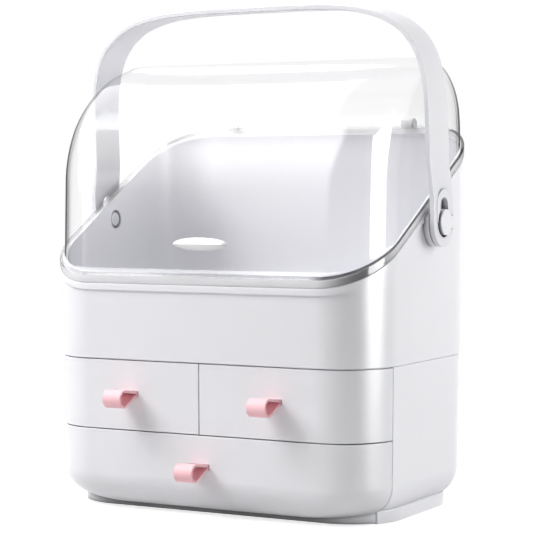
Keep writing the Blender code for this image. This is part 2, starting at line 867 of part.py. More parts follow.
def make_lid():
    """The clear lid: a flange over the tray's tongue, a hood with a deep front curve, and two hinge hooks."""
    hinge = Vector((0, hinge_y, hinge_z))
    flange_inner = tray_outline(flange_wall - lip_proud)
    flange_outer = tray_outline(-lip_proud)
    web = flange_height - hood_wall
    rings = hood_rings(hood_wall, web)[::-1]
    rings += [
        slanted(flange_inner, rim_over(web)),
        slanted(flange_inner, rim_over(lid_gap)),
        slanted(flange_outer, rim_over(lid_gap)),
        slanted(flange_outer, rim_over(flange_height)),
    ]
    rings += hood_rings(0, flange_height)
    lid = add("lid", skin("lid", rings), clear_material(), hinge)
    for side, name in ((-1, "left"), (1, "right")):
        ends = sorted((side * (hinge_x - hook_width / 2), side * (hinge_x + hook_width / 2)))
        combine(lid, "UNION", prism(f"hook_{name}", hook_outline(), *ends))
        reach = hook_width / 2 + cut_overrun / 2
        profile = [(hinge_x - reach, pin_radius + seat_gap), (hinge_x + reach, pin_radius + seat_gap)]
        drill = turned(f"hook_hole_{name}", mirrored(profile, side), (hinge_y, hinge_z))
        combine(lid, "DIFFERENCE", drill)


def make_lid_grip():
    """A lens-shaped grip with a level ridge, on the front of the hood."""
    face = -hood_front + hood_lean_share * (grip_z - grip_half_height - hood_front_z) - seat_gap
    radius = (grip_half_width**2 + grip_half_height**2) / (2 * grip_half_height)
    swing = math.degrees(math.asin(grip_half_width / radius))
    lower = arc((0, radius - grip_half_height), radius, 270 - swing, 270 + swing, corner_steps)[:-1]
    upper = arc((0, grip_half_height - radius), radius, 90 - swing, 90 + swing, corner_steps)[:-1]
    lens = lower + upper
    rings = [
        [(x * across_share, face - depth, grip_z + z * up_share) for x, z in lens]
        for depth, across_share, up_share in (
            (0, 1, 1),
            (grip_edge, 1, 1),
            (grip_depth, *grip_ridge_shares),
        )
    ]
    add("lid_grip", skin("lid_grip", rings), grip_material(), Vector((0, hinge_y, hinge_z)))


# Handle


def handle_stations():
    """(x outside, height above the pivot, half width) along the handle, from the right end over to the left end."""
    half = handle_width / 2
    meets = 180 - math.degrees(math.asin(half / handle_end_radius))
    stations = []
    for step in range(end_steps + 1):
        angle = math.radians(meets * (step + 1) / (end_steps + 1))
        height = -handle_end_radius * math.cos(angle)
        stations.append((arm_x(height), height, handle_end_radius * math.sin(angle)))
    stations.append((handle_pivot_span, handle_end_radius, half))
    for step in range(arch_steps + 1):
        angle = math.pi / 2 * step / arch_steps
        x = handle_half_span * math.cos(angle) ** (2 / handle_arch_power)
        height = handle_straight + handle_arch * math.sin(angle) ** (2 / handle_arch_power)
        stations.append((x, height, half))
    return stations


def arm_x(height):
    """How far out the arm's outside is: it spreads a little towards the pivot."""
    share = (handle_straight - height) / (handle_straight - handle_end_radius)
    return handle_half_span + (handle_pivot_span - handle_half_span) * min(share, 1)


def handle_rings():
    """Four-cornered rings along the handle, square to its path."""
    half_path = handle_stations()
    path = half_path + [(-x, height, half) for x, height, half in reversed(half_path[:-1])]
    rings = []
    for place, (x, height, half) in enumerate(path):
        before = path[max(place - 1, 0)]
        after = path[min(place + 1, len(path) - 1)]
        along = Vector((after[0] - before[0], after[1] - before[1])).normalized()
        inward = Vector((-along.y, along.x)) * handle_thickness
        inner = (x + inward.x, height + inward.y)
        rings.append(
            [
                (x, -half, height),
                (x, half, height),
                (inner[0], half, inner[1]),
                (inner[0], -half, inner[1]),
            ]
        )
    return rings


def make_handle():
    """The carrying hoop, laid out upright round its pivot and then tilted forward."""
    pivot = Vector((0, pivot_y, pivot_z))
    handle = add("handle", skin("handle", handle_rings()), body_material(), pivot, handle_tilt)
    reach = handle_pivot_span + cut_overrun
    lobe_top = keyhole_reach - keyhole_lobe_half
    lobe = arc((0, lobe_top), keyhole_lobe_half, 0, 180, corner_steps)
    lobe += [(-keyhole_lobe_half, 0), (keyhole_lobe_half, 0)]
    combine(handle, "DIFFERENCE", prism("keyhole_lobe", lobe, -reach, reach), handle_tilt)
    round_hole = turned("keyhole_round", [(-reach, keyhole_radius), (reach, keyhole_radius)], (0, 0))
    combine(handle, "DIFFERENCE", round_hole, handle_tilt)


def make_studs():
    """Round studs with a locking tab that hold the handle's ends, and the screws that pull them in from inside."""
    face = handle_pivot_span + stud_proud
    tab_back = handle_pivot_span + seat_gap
    bore = screw_radius + seat_gap
    bore_end = pocket_floor + screw_length + running_gap
    head_back = pocket_floor - seat_gap
    tab = arc((pivot_y + tab_reach - tab_half_width, pivot_z), tab_half_width, -90, 90, corner_steps)
    tab += [(pivot_y, pivot_z + tab_half_width), (pivot_y, pivot_z - tab_half_width)]
    for side, name in ((-1, "left"), (1, "right")):
        profile = [
            (bore_end, bore),
            (pocket_floor + seat_gap, bore),
            (pocket_floor + seat_gap, spigot_radius),
            (boss_face + seat_gap, spigot_radius),
            (boss_face + seat_gap, stud_radius),
            (face - stud_edge, stud_radius),
            (face, stud_radius - stud_edge),
        ]
        data = turned(f"handle_stud_{name}", mirrored(profile, side), (pivot_y, pivot_z))
        stud = add(f"handle_stud_{name}", data, body_material(), Vector((0, pivot_y, pivot_z)))
        ends = sorted((side * tab_back, side * (face - stud_edge)))
        combine(stud, "UNION", prism(f"stud_tab_{name}", tab, *ends))
        profile = [
            (head_back - screw_head_length, screw_head_radius - stud_edge),
            (head_back - screw_head_length + stud_edge, screw_head_radius),
            (head_back, screw_head_radius),
            (head_back, screw_radius),
            (pocket_floor + screw_length, screw_radius),
        ]
        data = turned(f"stud_screw_{name}", mirrored(profile, side), (pivot_y, pivot_z))
        add(f"stud_screw_{name}", data, steel_material(), Vector((0, pivot_y, pivot_z)))


def main():
    for old in list(bpy.data.objects):
        bpy.data.objects.remove(old)
    make_base_plate()
    make_cabinet_shell()
    make_middle_shelf()
    make_centre_divider()
    make_drawers()
    make_tray()
    make_hinge_pins()
    make_lid()
    make_lid_grip()
    make_handle()
    make_studs()


main()
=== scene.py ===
"""Looks of the dustproof vanity box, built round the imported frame.

The pieces are laid out with the cabinet's middle at x = 0, y = 0 and the front towards -Y, and then moved
along Y to where the frame has them. All lengths are in metres.
"""

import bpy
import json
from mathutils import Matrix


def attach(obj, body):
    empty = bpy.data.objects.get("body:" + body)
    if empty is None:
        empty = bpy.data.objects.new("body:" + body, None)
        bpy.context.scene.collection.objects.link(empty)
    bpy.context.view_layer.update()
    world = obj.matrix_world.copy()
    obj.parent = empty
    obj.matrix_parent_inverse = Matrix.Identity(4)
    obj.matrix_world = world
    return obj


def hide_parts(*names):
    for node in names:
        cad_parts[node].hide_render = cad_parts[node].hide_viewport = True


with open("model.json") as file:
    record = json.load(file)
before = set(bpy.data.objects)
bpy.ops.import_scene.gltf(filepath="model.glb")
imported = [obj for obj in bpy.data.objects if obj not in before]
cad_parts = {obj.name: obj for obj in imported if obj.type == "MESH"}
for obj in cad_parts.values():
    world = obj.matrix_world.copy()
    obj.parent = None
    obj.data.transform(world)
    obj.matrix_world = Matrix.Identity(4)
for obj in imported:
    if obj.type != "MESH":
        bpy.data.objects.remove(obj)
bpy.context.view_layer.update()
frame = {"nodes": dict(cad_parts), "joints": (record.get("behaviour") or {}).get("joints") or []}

import json
from math import acos, asin, atan2, cos, degrees, dist, hypot, pi, radians, sin, sqrt, tan

import bmesh
import bpy
from mathutils import Matrix, Vector

# Fineness of round shapes, in counts
corner_steps = 16
circle_steps = 64
rounding_steps = 12
hood_steps = 36
fillet_steps = 4
wall_steps = 4
arch_steps = 48
end_steps = 18
settling_passes = 5
sharp_angle = radians(33)

# Room between pieces
seat_gap = 0.0003
seam = 0.0008
cut_overrun = 0.004
weld_depth = 0.0008

# Cabinet
cabinet_width = 0.280
cabinet_depth = 0.1908
cabinet_top = 0.1148
cabinet_corner = 0.0427
cabinet_lean_share = 0.009
cabinet_wall = 0.0025
underside = 0.0033
underside_round = 0.025
front_swell_share = 0.16
side_seam_setback = 0.0394
front_seam_z = 0.0616
shelf_drop = 0.0007
shelf_thickness = 0.002
ledge_depth = 0.004
ledge_height = 0.002
side_ledge_length = 0.100
rear_ledge_length = 0.120
divider_thickness = 0.002
wall_edge = 0.0004

# Base plate
plinth_height = 0.0094
plinth_side_inset = 0.0055
plinth_front_inset = 0.0224
plinth_rear_inset = 0.0164
plinth_corner = 0.042
plinth_skirt = 0.0025
plinth_plate = 0.003
plinth_rail_width = 0.012
plinth_floor_gap = 0.0006
plinth_edge = 0.0005

# Drawers
front_wall = 0.0025
box_wall = 0.002
box_front_gap = 0.0004
box_side_gap = 0.0015
box_rear_gap = 0.003
box_floor_gap = 0.0006
box_inner_corner = 0.003
small_box_headroom = 0.0043
bottom_box_headroom = 0.002
box_edge = 0.0006

# Pull straps
strap_width = 0.0153
strap_thickness = 0.0018
strap_reach = 0.0242
strap_nose = 0.0068
strap_nose_drop = 0.0024
strap_bead_length = 0.0015
strap_bead_height = 0.0066
strap_slot_gap = 0.0004
strap_slot_side_gap = 0.0008
strap_edge = 0.0003
clip_thickness = 0.003
small_pull_inset = 0.0087
small_pull_rise = 0.0279
bottom_pull_drop = 0.0234

# Tray
tray_front_height = 0.0582
tray_proud = 0.0005
tray_lean_share = 0.014
tray_wall = 0.0025
tray_floor = 0.0024
tray_floor_round = 0.006
tray_foot_edge = 0.0005
locator_depth = 0.0028
locator_wall = 0.002
locator_gap = 0.001
rim_angle = radians(30)
lip_height = 0.0047
lip_proud = 0.0012
lip_edge = 0.0005
tongue_height = 0.0035
tongue_wall = 0.001

# Clear lid
flange_height = 0.007
flange_wall = 0.002
flange_edge = 0.0006
foot_share = 0.7
foot_rise = 0.002
line_slack = 0.0001
# Hook faces turned further aside than this get painted dark
hook_side_facing = 0.6
hood_wall = 0.0022
hood_height = 0.1677
hood_side_proud = 0.0008
hood_front_inset = 0.0024
hood_front_rise = 0.0067
hood_lean_share = 0.05
hood_rear_inset = 0.0024
hood_flat_depth = 0.03795
hood_top_corner = 0.038
front_curve_height = 0.0913
front_curve_power = 1.87
rear_curve_height = 0.040
rear_curve_depth = 0.040
side_curve_height = 0.055
side_curve_depth = 0.009
side_curve_power = 1.5
lid_gap = 0.00035

# Lid grip
grip_half_width = 0.023
grip_half_height = 0.0048
grip_rise_out = 0.0032
grip_rise = 0.0293
grip_stations = (
    (0, 1, 1),
    (0.10, 1, 1),
    (0.24, 0.99, 0.96),
    (0.42, 0.965, 0.86),
    (0.60, 0.93, 0.70),
    (0.76, 0.895, 0.50),
    (0.89, 0.865, 0.28),
    (0.97, 0.845, 0.10),
    (1, 0.84, 0.02),
)

# Lid hinge
hinge_setback = 0.0085
hinge_drop = 0.00287
hinge_inset = 0.060
hook_width = 0.0096
hook_thickness = 0.0032
hook_rise = 0.0131
hook_leg_setback = 0.0011
hook_edge = 0.0005
eye_radius = 0.0032
pin_radius = 0.0015
ear_thickness = 0.0028
ear_gap = 0.0004
ear_foot_drop = 0.012
ear_root_drop = 0.0023
ear_edge = 0.0004

# Handle
pivot_y = 0.00805
pivot_drop = 0.01503
handle_tilt = radians(2.96)
handle_width = 0.0346
handle_thickness = 0.0038
handle_edge = 0.0006
handle_edge_share = 0.45
handle_side_gap = 0.0049
handle_spread = 0.0025
handle_straight = 0.0432
handle_grip_room = 0.0417
handle_arch_power = 4.23
handle_end_radius = 0.0185
keyhole_radius = 0.0113
keyhole_lobe_half = 0.0066
keyhole_reach = 0.0186
keyhole_pad = 0.0062
pad_proud = 0.0004

# Handle stud, and its boss on the tray
boss_radius = 0.0185
boss_edge = 0.001
stud_radius = 0.0098
stud_proud = 0.0023
stud_edge = 0.0007
tab_half_width = 0.0046
tab_reach = 0.0175
tab_edge = 0.0004
spigot_radius = 0.004
pocket_radius = 0.0074
pocket_depth = 0.003
pocket_edge = 0.0006
screw_radius = 0.0016
screw_length = 0.007
running_gap = 0.001

# Looks: textures in waves per metre, and the share of noise that counts
noise_ends = (0.3, 0.7)
shade_waves = 9.0
gloss_waves = 45.0
gloss_spread = 0.03
texture_depth = 0.00004
coat_roughness = 0.06
# Painted shade in hollows: how far ambient occlusion looks, and with how many samples
painted_shade_reach = 0.005
painted_shade_samples = 8
# Where painted shade goes: round the pivot on the tray, and close over the floor on the fronts
boss_shade_radius = 0.03
floor_shade_height = 0.014
turn_scale = 4.0  # brings (X times Y of a normal) squared up to 1 for a normal halfway between X and Y
# Where the clear plastic's painted dark starts beyond its front, along X
front_end_x = 0.092
side_start_x = 0.104
edge_power = 8.0
steep_power = 5.0
steep_gain = 3.5
crisp_waves = 25.0
crisp_roughness = (0.02, 0.045)
soft_roughness = 0.24
milk_colour = (0.9, 0.9, 0.91, 1.0)

# Stage and camera, with the camera's turns in degrees
floor_radius = 2.6
shadow_ends = (0.26, 0.60)
floor_glow = 0.72
floor_paint = 0.45
floor_bounce = 0.62
world_fill = 0.285
camera_turns = (28.982, 2.583, -0.153)
camera_place = (0.7374, -1.3228, 0.2507)
camera_lens = 131.73
camera_film = 36.0
lamp_aim_height = 0.18

# Lamps: name, degrees round from the front and up, distance, size, power, what they reach, and how they fade
softbox_fades = (((0.8, 1.0), (1.0, 0.0)), ((0.145, 0.0), (0.20, 0.50), (0.55, 1.0), (0.85, 1.0), (1.0, 0.3)))
low_fades = (((0.2, 1.0), (1.0, 0.0)), ((0.6, 1.0), (1.0, 0.0)))
lamps = (
    ("key", (-50, 41), 1.5, (0.9, 0.9), 21.4, "diffuse"),
    ("side", (126, 13), 1.2, (0.75, 0.9), 10.4, "diffuse"),
    ("top", (-45, 72), 1.4, (1.0, 1.0), 7.0, "diffuse"),
    ("softbox", (-35, 30), 1.6, (2.0, 2.2), 92.0, "glossy", softbox_fades),
    ("low", (-42, 8), 1.6, (0.55, 0.40), 1.7, "glossy", low_fades),
    ("sky", (-110, 50), 1.5, (1.9, 1.3), 40.0, "glossy"),
    ("strip", (90, 15), 1.4, (0.85, 1.1), 46.0, "glossy"),
)

# Sizes that follow from the ones above
circle_angles = [2 * pi * step / circle_steps for step in range(circle_steps)]
half_width = cabinet_width / 2
half_depth = cabinet_depth / 2
rounding_centre = underside + underside_round
shell_bottom = plinth_height + seat_gap
shell_floor = shell_bottom + cabinet_wall
side_seam_y = side_seam_setback - half_depth
shelf_top = front_seam_z - shelf_drop
shelf_bottom = shelf_top - shelf_thickness
plinth_half_x = half_width - plinth_side_inset
plinth_front = plinth_front_inset - half_depth
plinth_rear = half_depth - plinth_rear_inset
small_pull_x = half_width / 2 - small_pull_inset
small_pull_z = front_seam_z + small_pull_rise
bottom_pull_z = front_seam_z - bottom_pull_drop
box_out = cabinet_wall + box_side_gap
box_in = box_out + box_wall
tray_bottom = cabinet_top + seat_gap
rim_front_z = tray_bottom + tray_front_height
rim_rise = tan(rim_angle)


def lean_at(height):
    """How far the cabinet's wall has drawn in at this height."""
    return cabinet_lean_share * (cabinet_top - height)


def rim_over(rise):
    """The slanted rim plane raised by rise, as a function of y."""
    return lambda y: rim_front_z + rise + rim_rise * (y + half_depth)


def tray_wall_at(half, height):
    """How far out the tray's wall is at this height."""
    return half + tray_proud + tray_lean_share * (height - tray_bottom)


flange_web = flange_height - hood_wall
hood_top = rim_front_z + hood_height
hood_half_x = half_width + hood_side_proud
hood_front = half_depth - hood_front_inset
hood_front_z = rim_front_z + hood_front_rise
hood_rear = half_depth - hood_rear_inset
hood_run = hood_front + hood_rear - hood_lean_share * (hood_top - hood_front_z)
front_curve_depth = hood_run - rear_curve_depth - hood_flat_depth
front_curve_z = hood_top - front_curve_height
rear_curve_z = hood_top - rear_curve_height
side_curve_z = hood_top - side_curve_height
hood_curves = (
    (side_curve_z, side_curve_depth, side_curve_power),
    (front_curve_z, front_curve_depth, front_curve_power),
    (rear_curve_z, rear_curve_depth, 2),
)
grip_z = rim_front_z + grip_rise
hinge_y = half_depth + hinge_setback
hinge_z = rim_over(-hinge_drop)(hinge_y)
hinge_x = half_width - hinge_inset
hook_top = hinge_z + hook_rise
hook_leg_y = half_depth + hook_leg_setback
pivot_z = rim_over(-pivot_drop)(pivot_y)
handle_half_span = half_width + handle_side_gap + handle_thickness
handle_pivot_span = handle_half_span + handle_spread
handle_arch = hood_top + handle_grip_room - pivot_z - handle_straight
tray_side_x = tray_wall_at(half_width, pivot_z)
boss_face = handle_pivot_span - handle_thickness - seat_gap
pocket_floor = tray_side_x - tray_wall + pocket_depth
lid_joint = next(joint for joint in frame["joints"] if joint["name"] == "lid_hinge")
body_shift = Vector((0, lid_joint["pos_m"][1] - hinge_y, 0))


# Mesh building


def finished(mesh, name):
    """Mesh data with its faces turned outwards."""
    bmesh.ops.recalc_face_normals(mesh, faces=mesh.faces)
    data = bpy.data.meshes.new(name)
    mesh.to_mesh(data)
    mesh.free()
    return data


def skin(name, rings):
    """A closed solid stretched over rings of points, with its two end rings filled in."""
    mesh = bmesh.new()
    rows = [[mesh.verts.new(point) for point in ring] for ring in rings]
    for low, high in zip(rows, rows[1:]):
        for here in range(len(low)):
            after = (here + 1) % len(low)
            mesh.faces.new((low[here], low[after], high[after], high[here]))
    mesh.faces.new(rows[0][::-1])
    mesh.faces.new(rows[-1])
    return finished(mesh, name)


def panel(name, outer, inner):
    """A closed solid between two matching grids of points."""
    mesh = bmesh.new()
    grids = [[[mesh.verts.new(point) for point in row] for row in grid] for grid in (outer, inner)]
    rows = range(len(outer))
    columns = range(len(outer[0]))
    for grid in grids:
        for low, high in zip(grid, grid[1:]):
            for column in columns[1:]:
                mesh.faces.new((low[column - 1], low[column], high[column], high[column - 1]))
    border = [(0, column) for column in columns] + [(row, columns[-1]) for row in rows[1:]]
    border += [(rows[-1], column) for column in columns[-2::-1]] + [(row, 0) for row in rows[-2:0:-1]]
    for here, after in zip(border, border[1:] + border[:1]):
        corners = ((0, here), (1, here), (1, after), (0, after))
        mesh.faces.new([grids[side][row][column] for side, (row, column) in corners])
    return finished(mesh, name)


def quarter(steps):
    """The angles of a quarter turn, in this many steps."""
    return [pi / 2 * step / steps for step in range(steps + 1)]


def arc(centre, radius, start, end, steps):
    """Points along an arc, with its angles in degrees."""
    angles = [radians(start + (end - start) * step / steps) for step in range(steps + 1)]
    return [(centre[0] + radius * cos(a), centre[1] + radius * sin(a)) for a in angles]


def plan_outline(left, right, front, rear, radii, steps=corner_steps):
    """A rounded rectangle, anticlockwise from its front left corner, with a radius for each corner."""
    corners = (
        ((left + radii[0], front + radii[0]), 180),
        ((right - radii[1], front + radii[1]), 270),
        ((right - radii[2], rear - radii[2]), 0),
        ((left + radii[3], rear - radii[3]), 90),
    )
    points = []
    for (centre, start), radius in zip(corners, radii):
        points += arc(centre, radius, start, start + 90, steps)
    return points


def level(outline, height):
    """The outline as a ring at one height."""
    return [(x, y, height) for x, y in outline]


def slanted(outline_at, height_over):
    """A ring where the upright lines of a wall meet a slanted surface, found by a few passes."""
    heights = [height_over(0) for _ in outline_at(height_over(0))]
    for _ in range(settling_passes):
        heights = [height_over(outline_at(height)[place][1]) for place, height in enumerate(heights)]
    return [(*outline_at(height)[place], height) for place, height in enumerate(heights)]


def across(outline, x):
    """An outline in Y and Z as a ring at one place along X."""
    return [(x, y, z) for y, z in outline]


def span(side, near, far):
    """From near to far along X, on the right side (1) or the left one (-1), in rising order."""
    return sorted((side * near, side * far))


def prism(name, outline, left, right):
    """A solid with this outline in Y and Z, between two places along X."""
    return skin(name, [across(outline, left), across(outline, right)])


def added(name, outline, ends, edge):
    """A step that joins such a solid, with its edges rounded off."""
    return "UNION", softened(prism(name, outline, *ends), edge)


def block(name, low, high):
    """A plain block between two corners, to cut or join with."""
    outline = [(low[1], low[2]), (high[1], low[2]), (high[1], high[2]), (low[1], high[2])]
    return prism(name, outline, low[0], high[0])


def turned(name, profile, centre, side=1):
    """A solid turned about a line along X, from (place along X, radius) pairs for the right side."""
    rings = [across(arc(centre, radius, 0, 360, circle_steps)[:-1], side * x) for x, radius in profile]
    return skin(name, rings)


def rounded(points):
    """An open outline through (across, up, radius) points, with its inner corners rounded."""
    path = [points[0][:2]]
    for before, here, after in zip(points, points[1:], points[2:]):
        corner = Vector(here[:2])
        if not here[2]:
            path.append(tuple(corner))
            continue
        back = (Vector(before[:2]) - corner).normalized()
        ahead = (Vector(after[:2]) - corner).normalized()
        half = back.angle(ahead) / 2
        middle = corner + (back + ahead).normalized() * here[2] / sin(half)
        first = corner + back * here[2] / tan(half) - middle
        last = corner + ahead * here[2] / tan(half) - middle
        sweep = atan2(first.x * last.y - first.y * last.x, first.dot(last))
        for step in range(fillet_steps + 1):
            turn = Matrix.Rotation(sweep * step / fillet_steps, 2)
            path.append(tuple(middle + turn @ first))
    path.append(points[-1][:2])
    return path


def softened(data, radius):
    """The mesh with its sharp edges rounded off."""
    mesh = bmesh.new()
    mesh.from_mesh(data)
    bmesh.ops.bevel(
        mesh,
        geom=[edge for edge in mesh.edges if edge.calc_face_angle(0) > sharp_angle],
        offset=radius,
        offset_type="OFFSET",
        segments=fillet_steps - 1,
        profile=0.5,
        affect="EDGES",
        clamp_overlap=True,
    )
    mesh.to_mesh(data)
    mesh.free()
    return data


def placed(name, data):
    """An object in the scene with this mesh, lamp or camera."""
    made = bpy.data.objects.new(name, data)
    bpy.context.scene.collection.objects.link(made)
    return made


def carved(data, *steps):
    """The mesh after each (operation, tool shape) has been joined to it or cut out of it."""
    objects = [placed("carving", shape) for shape in [data] + [tool for _, tool in steps]]
    for (operation, _), tool in zip(steps, objects[1:]):
        modifier = objects[0].modifiers.new("carving", "BOOLEAN")
        modifier.operation = operation
        modifier.solver = "EXACT"
        modifier.object = tool
    graph = bpy.context.evaluated_depsgraph_get()
    result = bpy.data.meshes.new_from_object(objects[0].evaluated_get(graph))
    for made in objects:
        bpy.data.objects.remove(made)
    return result


# Materials


def grey(value):
    """A grey as an opaque colour."""
    return (value, value, value, 1.0)


class Tree:
    """The nodes of a material, a world or a lamp, added and linked by short calls."""

    def __init__(self, owner):
        owner.use_nodes = True
        self.owner = owner
        self.tree = owner.node_tree
        self.tree.nodes.clear()

    def node(self, kind, settings=(), **values):
        """A node with its settings, and its inputs given by name, as values or as sockets to link from."""
        made = self.tree.nodes.new(kind)
        for name, value in dict(settings).items():
            setattr(made, name, value)
        for name, value in values.items():
            self.feed(made, name.replace("_", " "), value)
        return made

    def feed(self, made, name, value):
        """Gives an input, by its name or number, a value or a link."""
        socket = made.inputs[int(name)] if name.isdigit() else made.inputs[name]
        if isinstance(value, bpy.types.NodeSocket):
            self.tree.links.new(value, socket)
        else:
            socket.default_value = value

    def shader(self, kind, **values):
        """What a shader node gives."""
        return self.node(kind, **values).outputs[0]

    def mixed(self, share, first, second):
        """A mix of two shaders."""
        made = self.node("ShaderNodeMixShader", Fac=share)
        self.feed(made, "1", first)
        self.feed(made, "2", second)
        return made.outputs[0]

    def closed(self, surface, kind="ShaderNodeOutputMaterial"):
        """Ends the tree with its output, and gives back what the nodes belong to."""
        self.node(kind, Surface=surface)
        return self.owner

    def part(self, kind, axis):
        """One coordinate of the piece's own place (Object) or of its normal (Normal)."""
        whole = self.node("ShaderNodeTexCoord").outputs[kind]
        return self.node("ShaderNodeSeparateXYZ", Vector=whole).outputs[axis]

    def noise(self, scale, detail=2.0):
        """Noise over the piece's own place in the box, in waves per metre."""
        place = self.node("ShaderNodeTexCoord").outputs["Object"]
        return self.node("ShaderNodeTexNoise", Vector=place, Scale=scale, Detail=detail).outputs["Fac"]

    def ranged(self, value, low, high, to_low, to_high):
        """The value carried over from one range to another, and held at its ends."""
        ends = {"From_Min": low, "From_Max": high, "To_Min": to_low, "To_Max": to_high}
        return self.node("ShaderNodeMapRange", Value=value, **ends).outputs["Result"]

    def between(self, noise, low, high):
        """The noise spread between two values."""
        return self.ranged(noise, *noise_ends, low, high)

    def maths(self, operation, *values):
        """One sum on numbers or sockets."""
        made = self.node("ShaderNodeMath", {"operation": operation})
        for place, value in enumerate(values):
            self.feed(made, str(place), value)
        return made.outputs[0]

    def times(self, first, second):
        """A product."""
        return self.maths("MULTIPLY", first, second)

    def blend(self, share, first, second):
        """A mix of two colours."""
        made = self.node("ShaderNodeMix", {"data_type": "RGBA"})
        self.feed(made, "0", share)
        for place, colour in (("6", first), ("7", second)):
            self.feed(made, place, (*colour, 1.0))
        return made.outputs[2]

    def seen(self):
        """1 for what is seen directly, mirrored or through clear plastic, and 0 for what only lights."""
        rays = self.node("ShaderNodeLightPath").outputs
        share = self.maths("MAXIMUM", rays["Is Camera Ray"], rays["Is Glossy Ray"])
        return self.maths("MAXIMUM", share, rays["Is Transmission Ray"])


def moulded(
    name, colour, other, roughness,
    grain=900.0, bump=0.25, metallic=0.0, coat=0.0, shine=0.65, turned_shine=0.0, painted_hollow_shade=False,
):
    """Moulded plastic or metal: two close shades, uneven gloss and a fine texture.

    Outer corners can shine more (turned_shine). Hollows can be darkened with painted shade, where ambient
    occlusion darkens the base colour.
    """
    tree = Tree(bpy.data.materials.new(name))
    shade = tree.blend(tree.between(tree.noise(shade_waves), 0.0, 1.0), colour, other)
    gloss_ends = (roughness * (1 - gloss_spread), roughness * (1 + gloss_spread))
    gloss = tree.between(tree.noise(gloss_waves), *gloss_ends)
    grains = tree.noise(grain, 3.0)
    texture = tree.node("ShaderNodeBump", Height=grains, Strength=bump, Distance=texture_depth)
    # Painted shade: ambient occlusion darkens the base colour in hollows, at two reaches
    if painted_hollow_shade:
        for reach in (painted_shade_reach, painted_shade_reach / 2):
            painted_crevice_shade = tree.node("ShaderNodeAmbientOcclusion", Color=shade, Distance=reach)
            painted_crevice_shade.samples = painted_shade_samples
            shade = painted_crevice_shade.outputs["Color"]
    if turned_shine:
        normal_x = tree.part("Normal", "X")
        turn = tree.times(normal_x, tree.part("Normal", "Y"))
        outward = tree.maths("GREATER_THAN", tree.times(normal_x, tree.part("Object", "X")), 0.0)
        turn = tree.times(tree.times(turn, turn), outward)
        shine = tree.maths("MULTIPLY_ADD", turn, turn_scale * turned_shine, shine)
    surface = tree.shader(
        "ShaderNodeBsdfPrincipled",
        Base_Color=shade,
        Normal=texture.outputs["Normal"],
        Roughness=gloss,
        Metallic=metallic,
        Specular_IOR_Level=shine,
        Coat_Weight=coat,
        Coat_Roughness=coat_roughness,
    )
    return tree.closed(surface)


def clear_plastic(name, tint, painted_edge_tint, painted_edge_gain, gloss_floor, haze=0.3, corner=0.0, sides=0.0, milk=0.0):
    """Clear plastic, or a little milky, which mirrors more when grazed.

    Painted dark stands in for refraction's dark lines: along upright edges seen edge-on, at two of its
    corners (corner) and beyond its front (sides).
    """
    tree = Tree(bpy.data.materials.new(name))
    facing = tree.node("ShaderNodeLayerWeight", Blend=0.5).outputs["Facing"]
    upright = tree.maths("SUBTRACT", 1.0, tree.maths("ABSOLUTE", tree.part("Normal", "Z")))
    edge = tree.times(tree.maths("POWER", facing, edge_power), tree.times(upright, upright))
    turn = tree.maths("MINIMUM", tree.times(tree.part("Normal", "X"), tree.part("Normal", "Y")), 0.0)
    turn = tree.times(tree.times(turn, turn), turn_scale * corner)
    painted_side_dark = tree.ranged(tree.part("Object", "X"), front_end_x, side_start_x, 0.0, sides)
    # Painted dark: edges seen edge-on, corners and sides, as a share of the dark tint
    dark = tree.maths("MULTIPLY_ADD", edge, painted_edge_gain, tree.maths("MAXIMUM", turn, painted_side_dark))
    dark = tree.maths("MINIMUM", dark, 1.0)
    through = tree.shader("ShaderNodeBsdfTransparent", Color=tree.blend(dark, tint, painted_edge_tint))
    cloud = tree.shader("ShaderNodeBsdfDiffuse", Color=milk_colour)
    veiled = tree.mixed(tree.times(tree.maths("SUBTRACT", 1.0, dark), milk), through, cloud)
    steep = tree.maths("POWER", facing, steep_power)
    crisp_gloss = tree.between(tree.noise(crisp_waves, 3.0), *crisp_roughness)
    crisp = tree.shader("ShaderNodeBsdfGlossy", Roughness=crisp_gloss)
    soft = tree.shader("ShaderNodeBsdfGlossy", Roughness=soft_roughness)
    gloss = tree.mixed(tree.maths("MULTIPLY_ADD", steep, -haze, haze), crisp, soft)
    mirror = tree.maths("MULTIPLY_ADD", steep, steep_gain * gloss_floor, gloss_floor)
    return tree.closed(tree.mixed(mirror, veiled, gloss))


satin = {"roughness": 0.32, "bump": 0.12, "shine": 0.25, "turned_shine": 0.7}
body_shades = ((0.79, 0.79, 0.82), (0.81, 0.81, 0.838))
# The handle's white, painted a little darker than the body's as shade
handle_painted_shade_tones = ((0.735, 0.735, 0.765), (0.755, 0.755, 0.783))
inner_shades = ((0.752, 0.752, 0.764), (0.782, 0.782, 0.792))
grip_shades = ((0.88, 0.88, 0.89), (0.90, 0.90, 0.91))
white = moulded("satin_white", *body_shades, **satin)
# The body's white with painted shade darkening its hollows
painted_shade_white = moulded("painted_shade_white", *body_shades, painted_hollow_shade=True, **satin)
handle_darker_painted_white = moulded("handle_darker_painted_white", *handle_painted_shade_tones, painted_hollow_shade=True, **satin)
inner_white = moulded("inner_white", *inner_shades, 0.6, shine=0.0)
gloss_white = moulded("gloss_white", *grip_shades, 0.16, grain=400.0, bump=0.1, coat=0.5)
pink = moulded("pink_strap", (0.93, 0.53, 0.57), (0.95, 0.59, 0.63), 0.55, grain=2600.0, bump=0.6, shine=0.25)
steel = moulded("steel", (0.58, 0.58, 0.60), (0.64, 0.64, 0.65), 0.28, grain=3000.0, bump=0.3, metallic=1.0)
# The hood, with strong painted dark outlines where it is seen edge-on
clear = clear_plastic("clear", (0.992, 0.992, 0.994), (0.02, 0.02, 0.03), 5.5, 0.062)
clear_inner = clear_plastic("clear_inner", (0.997, 0.997, 0.999), (0.45, 0.45, 0.47), 1.0, 0.002)
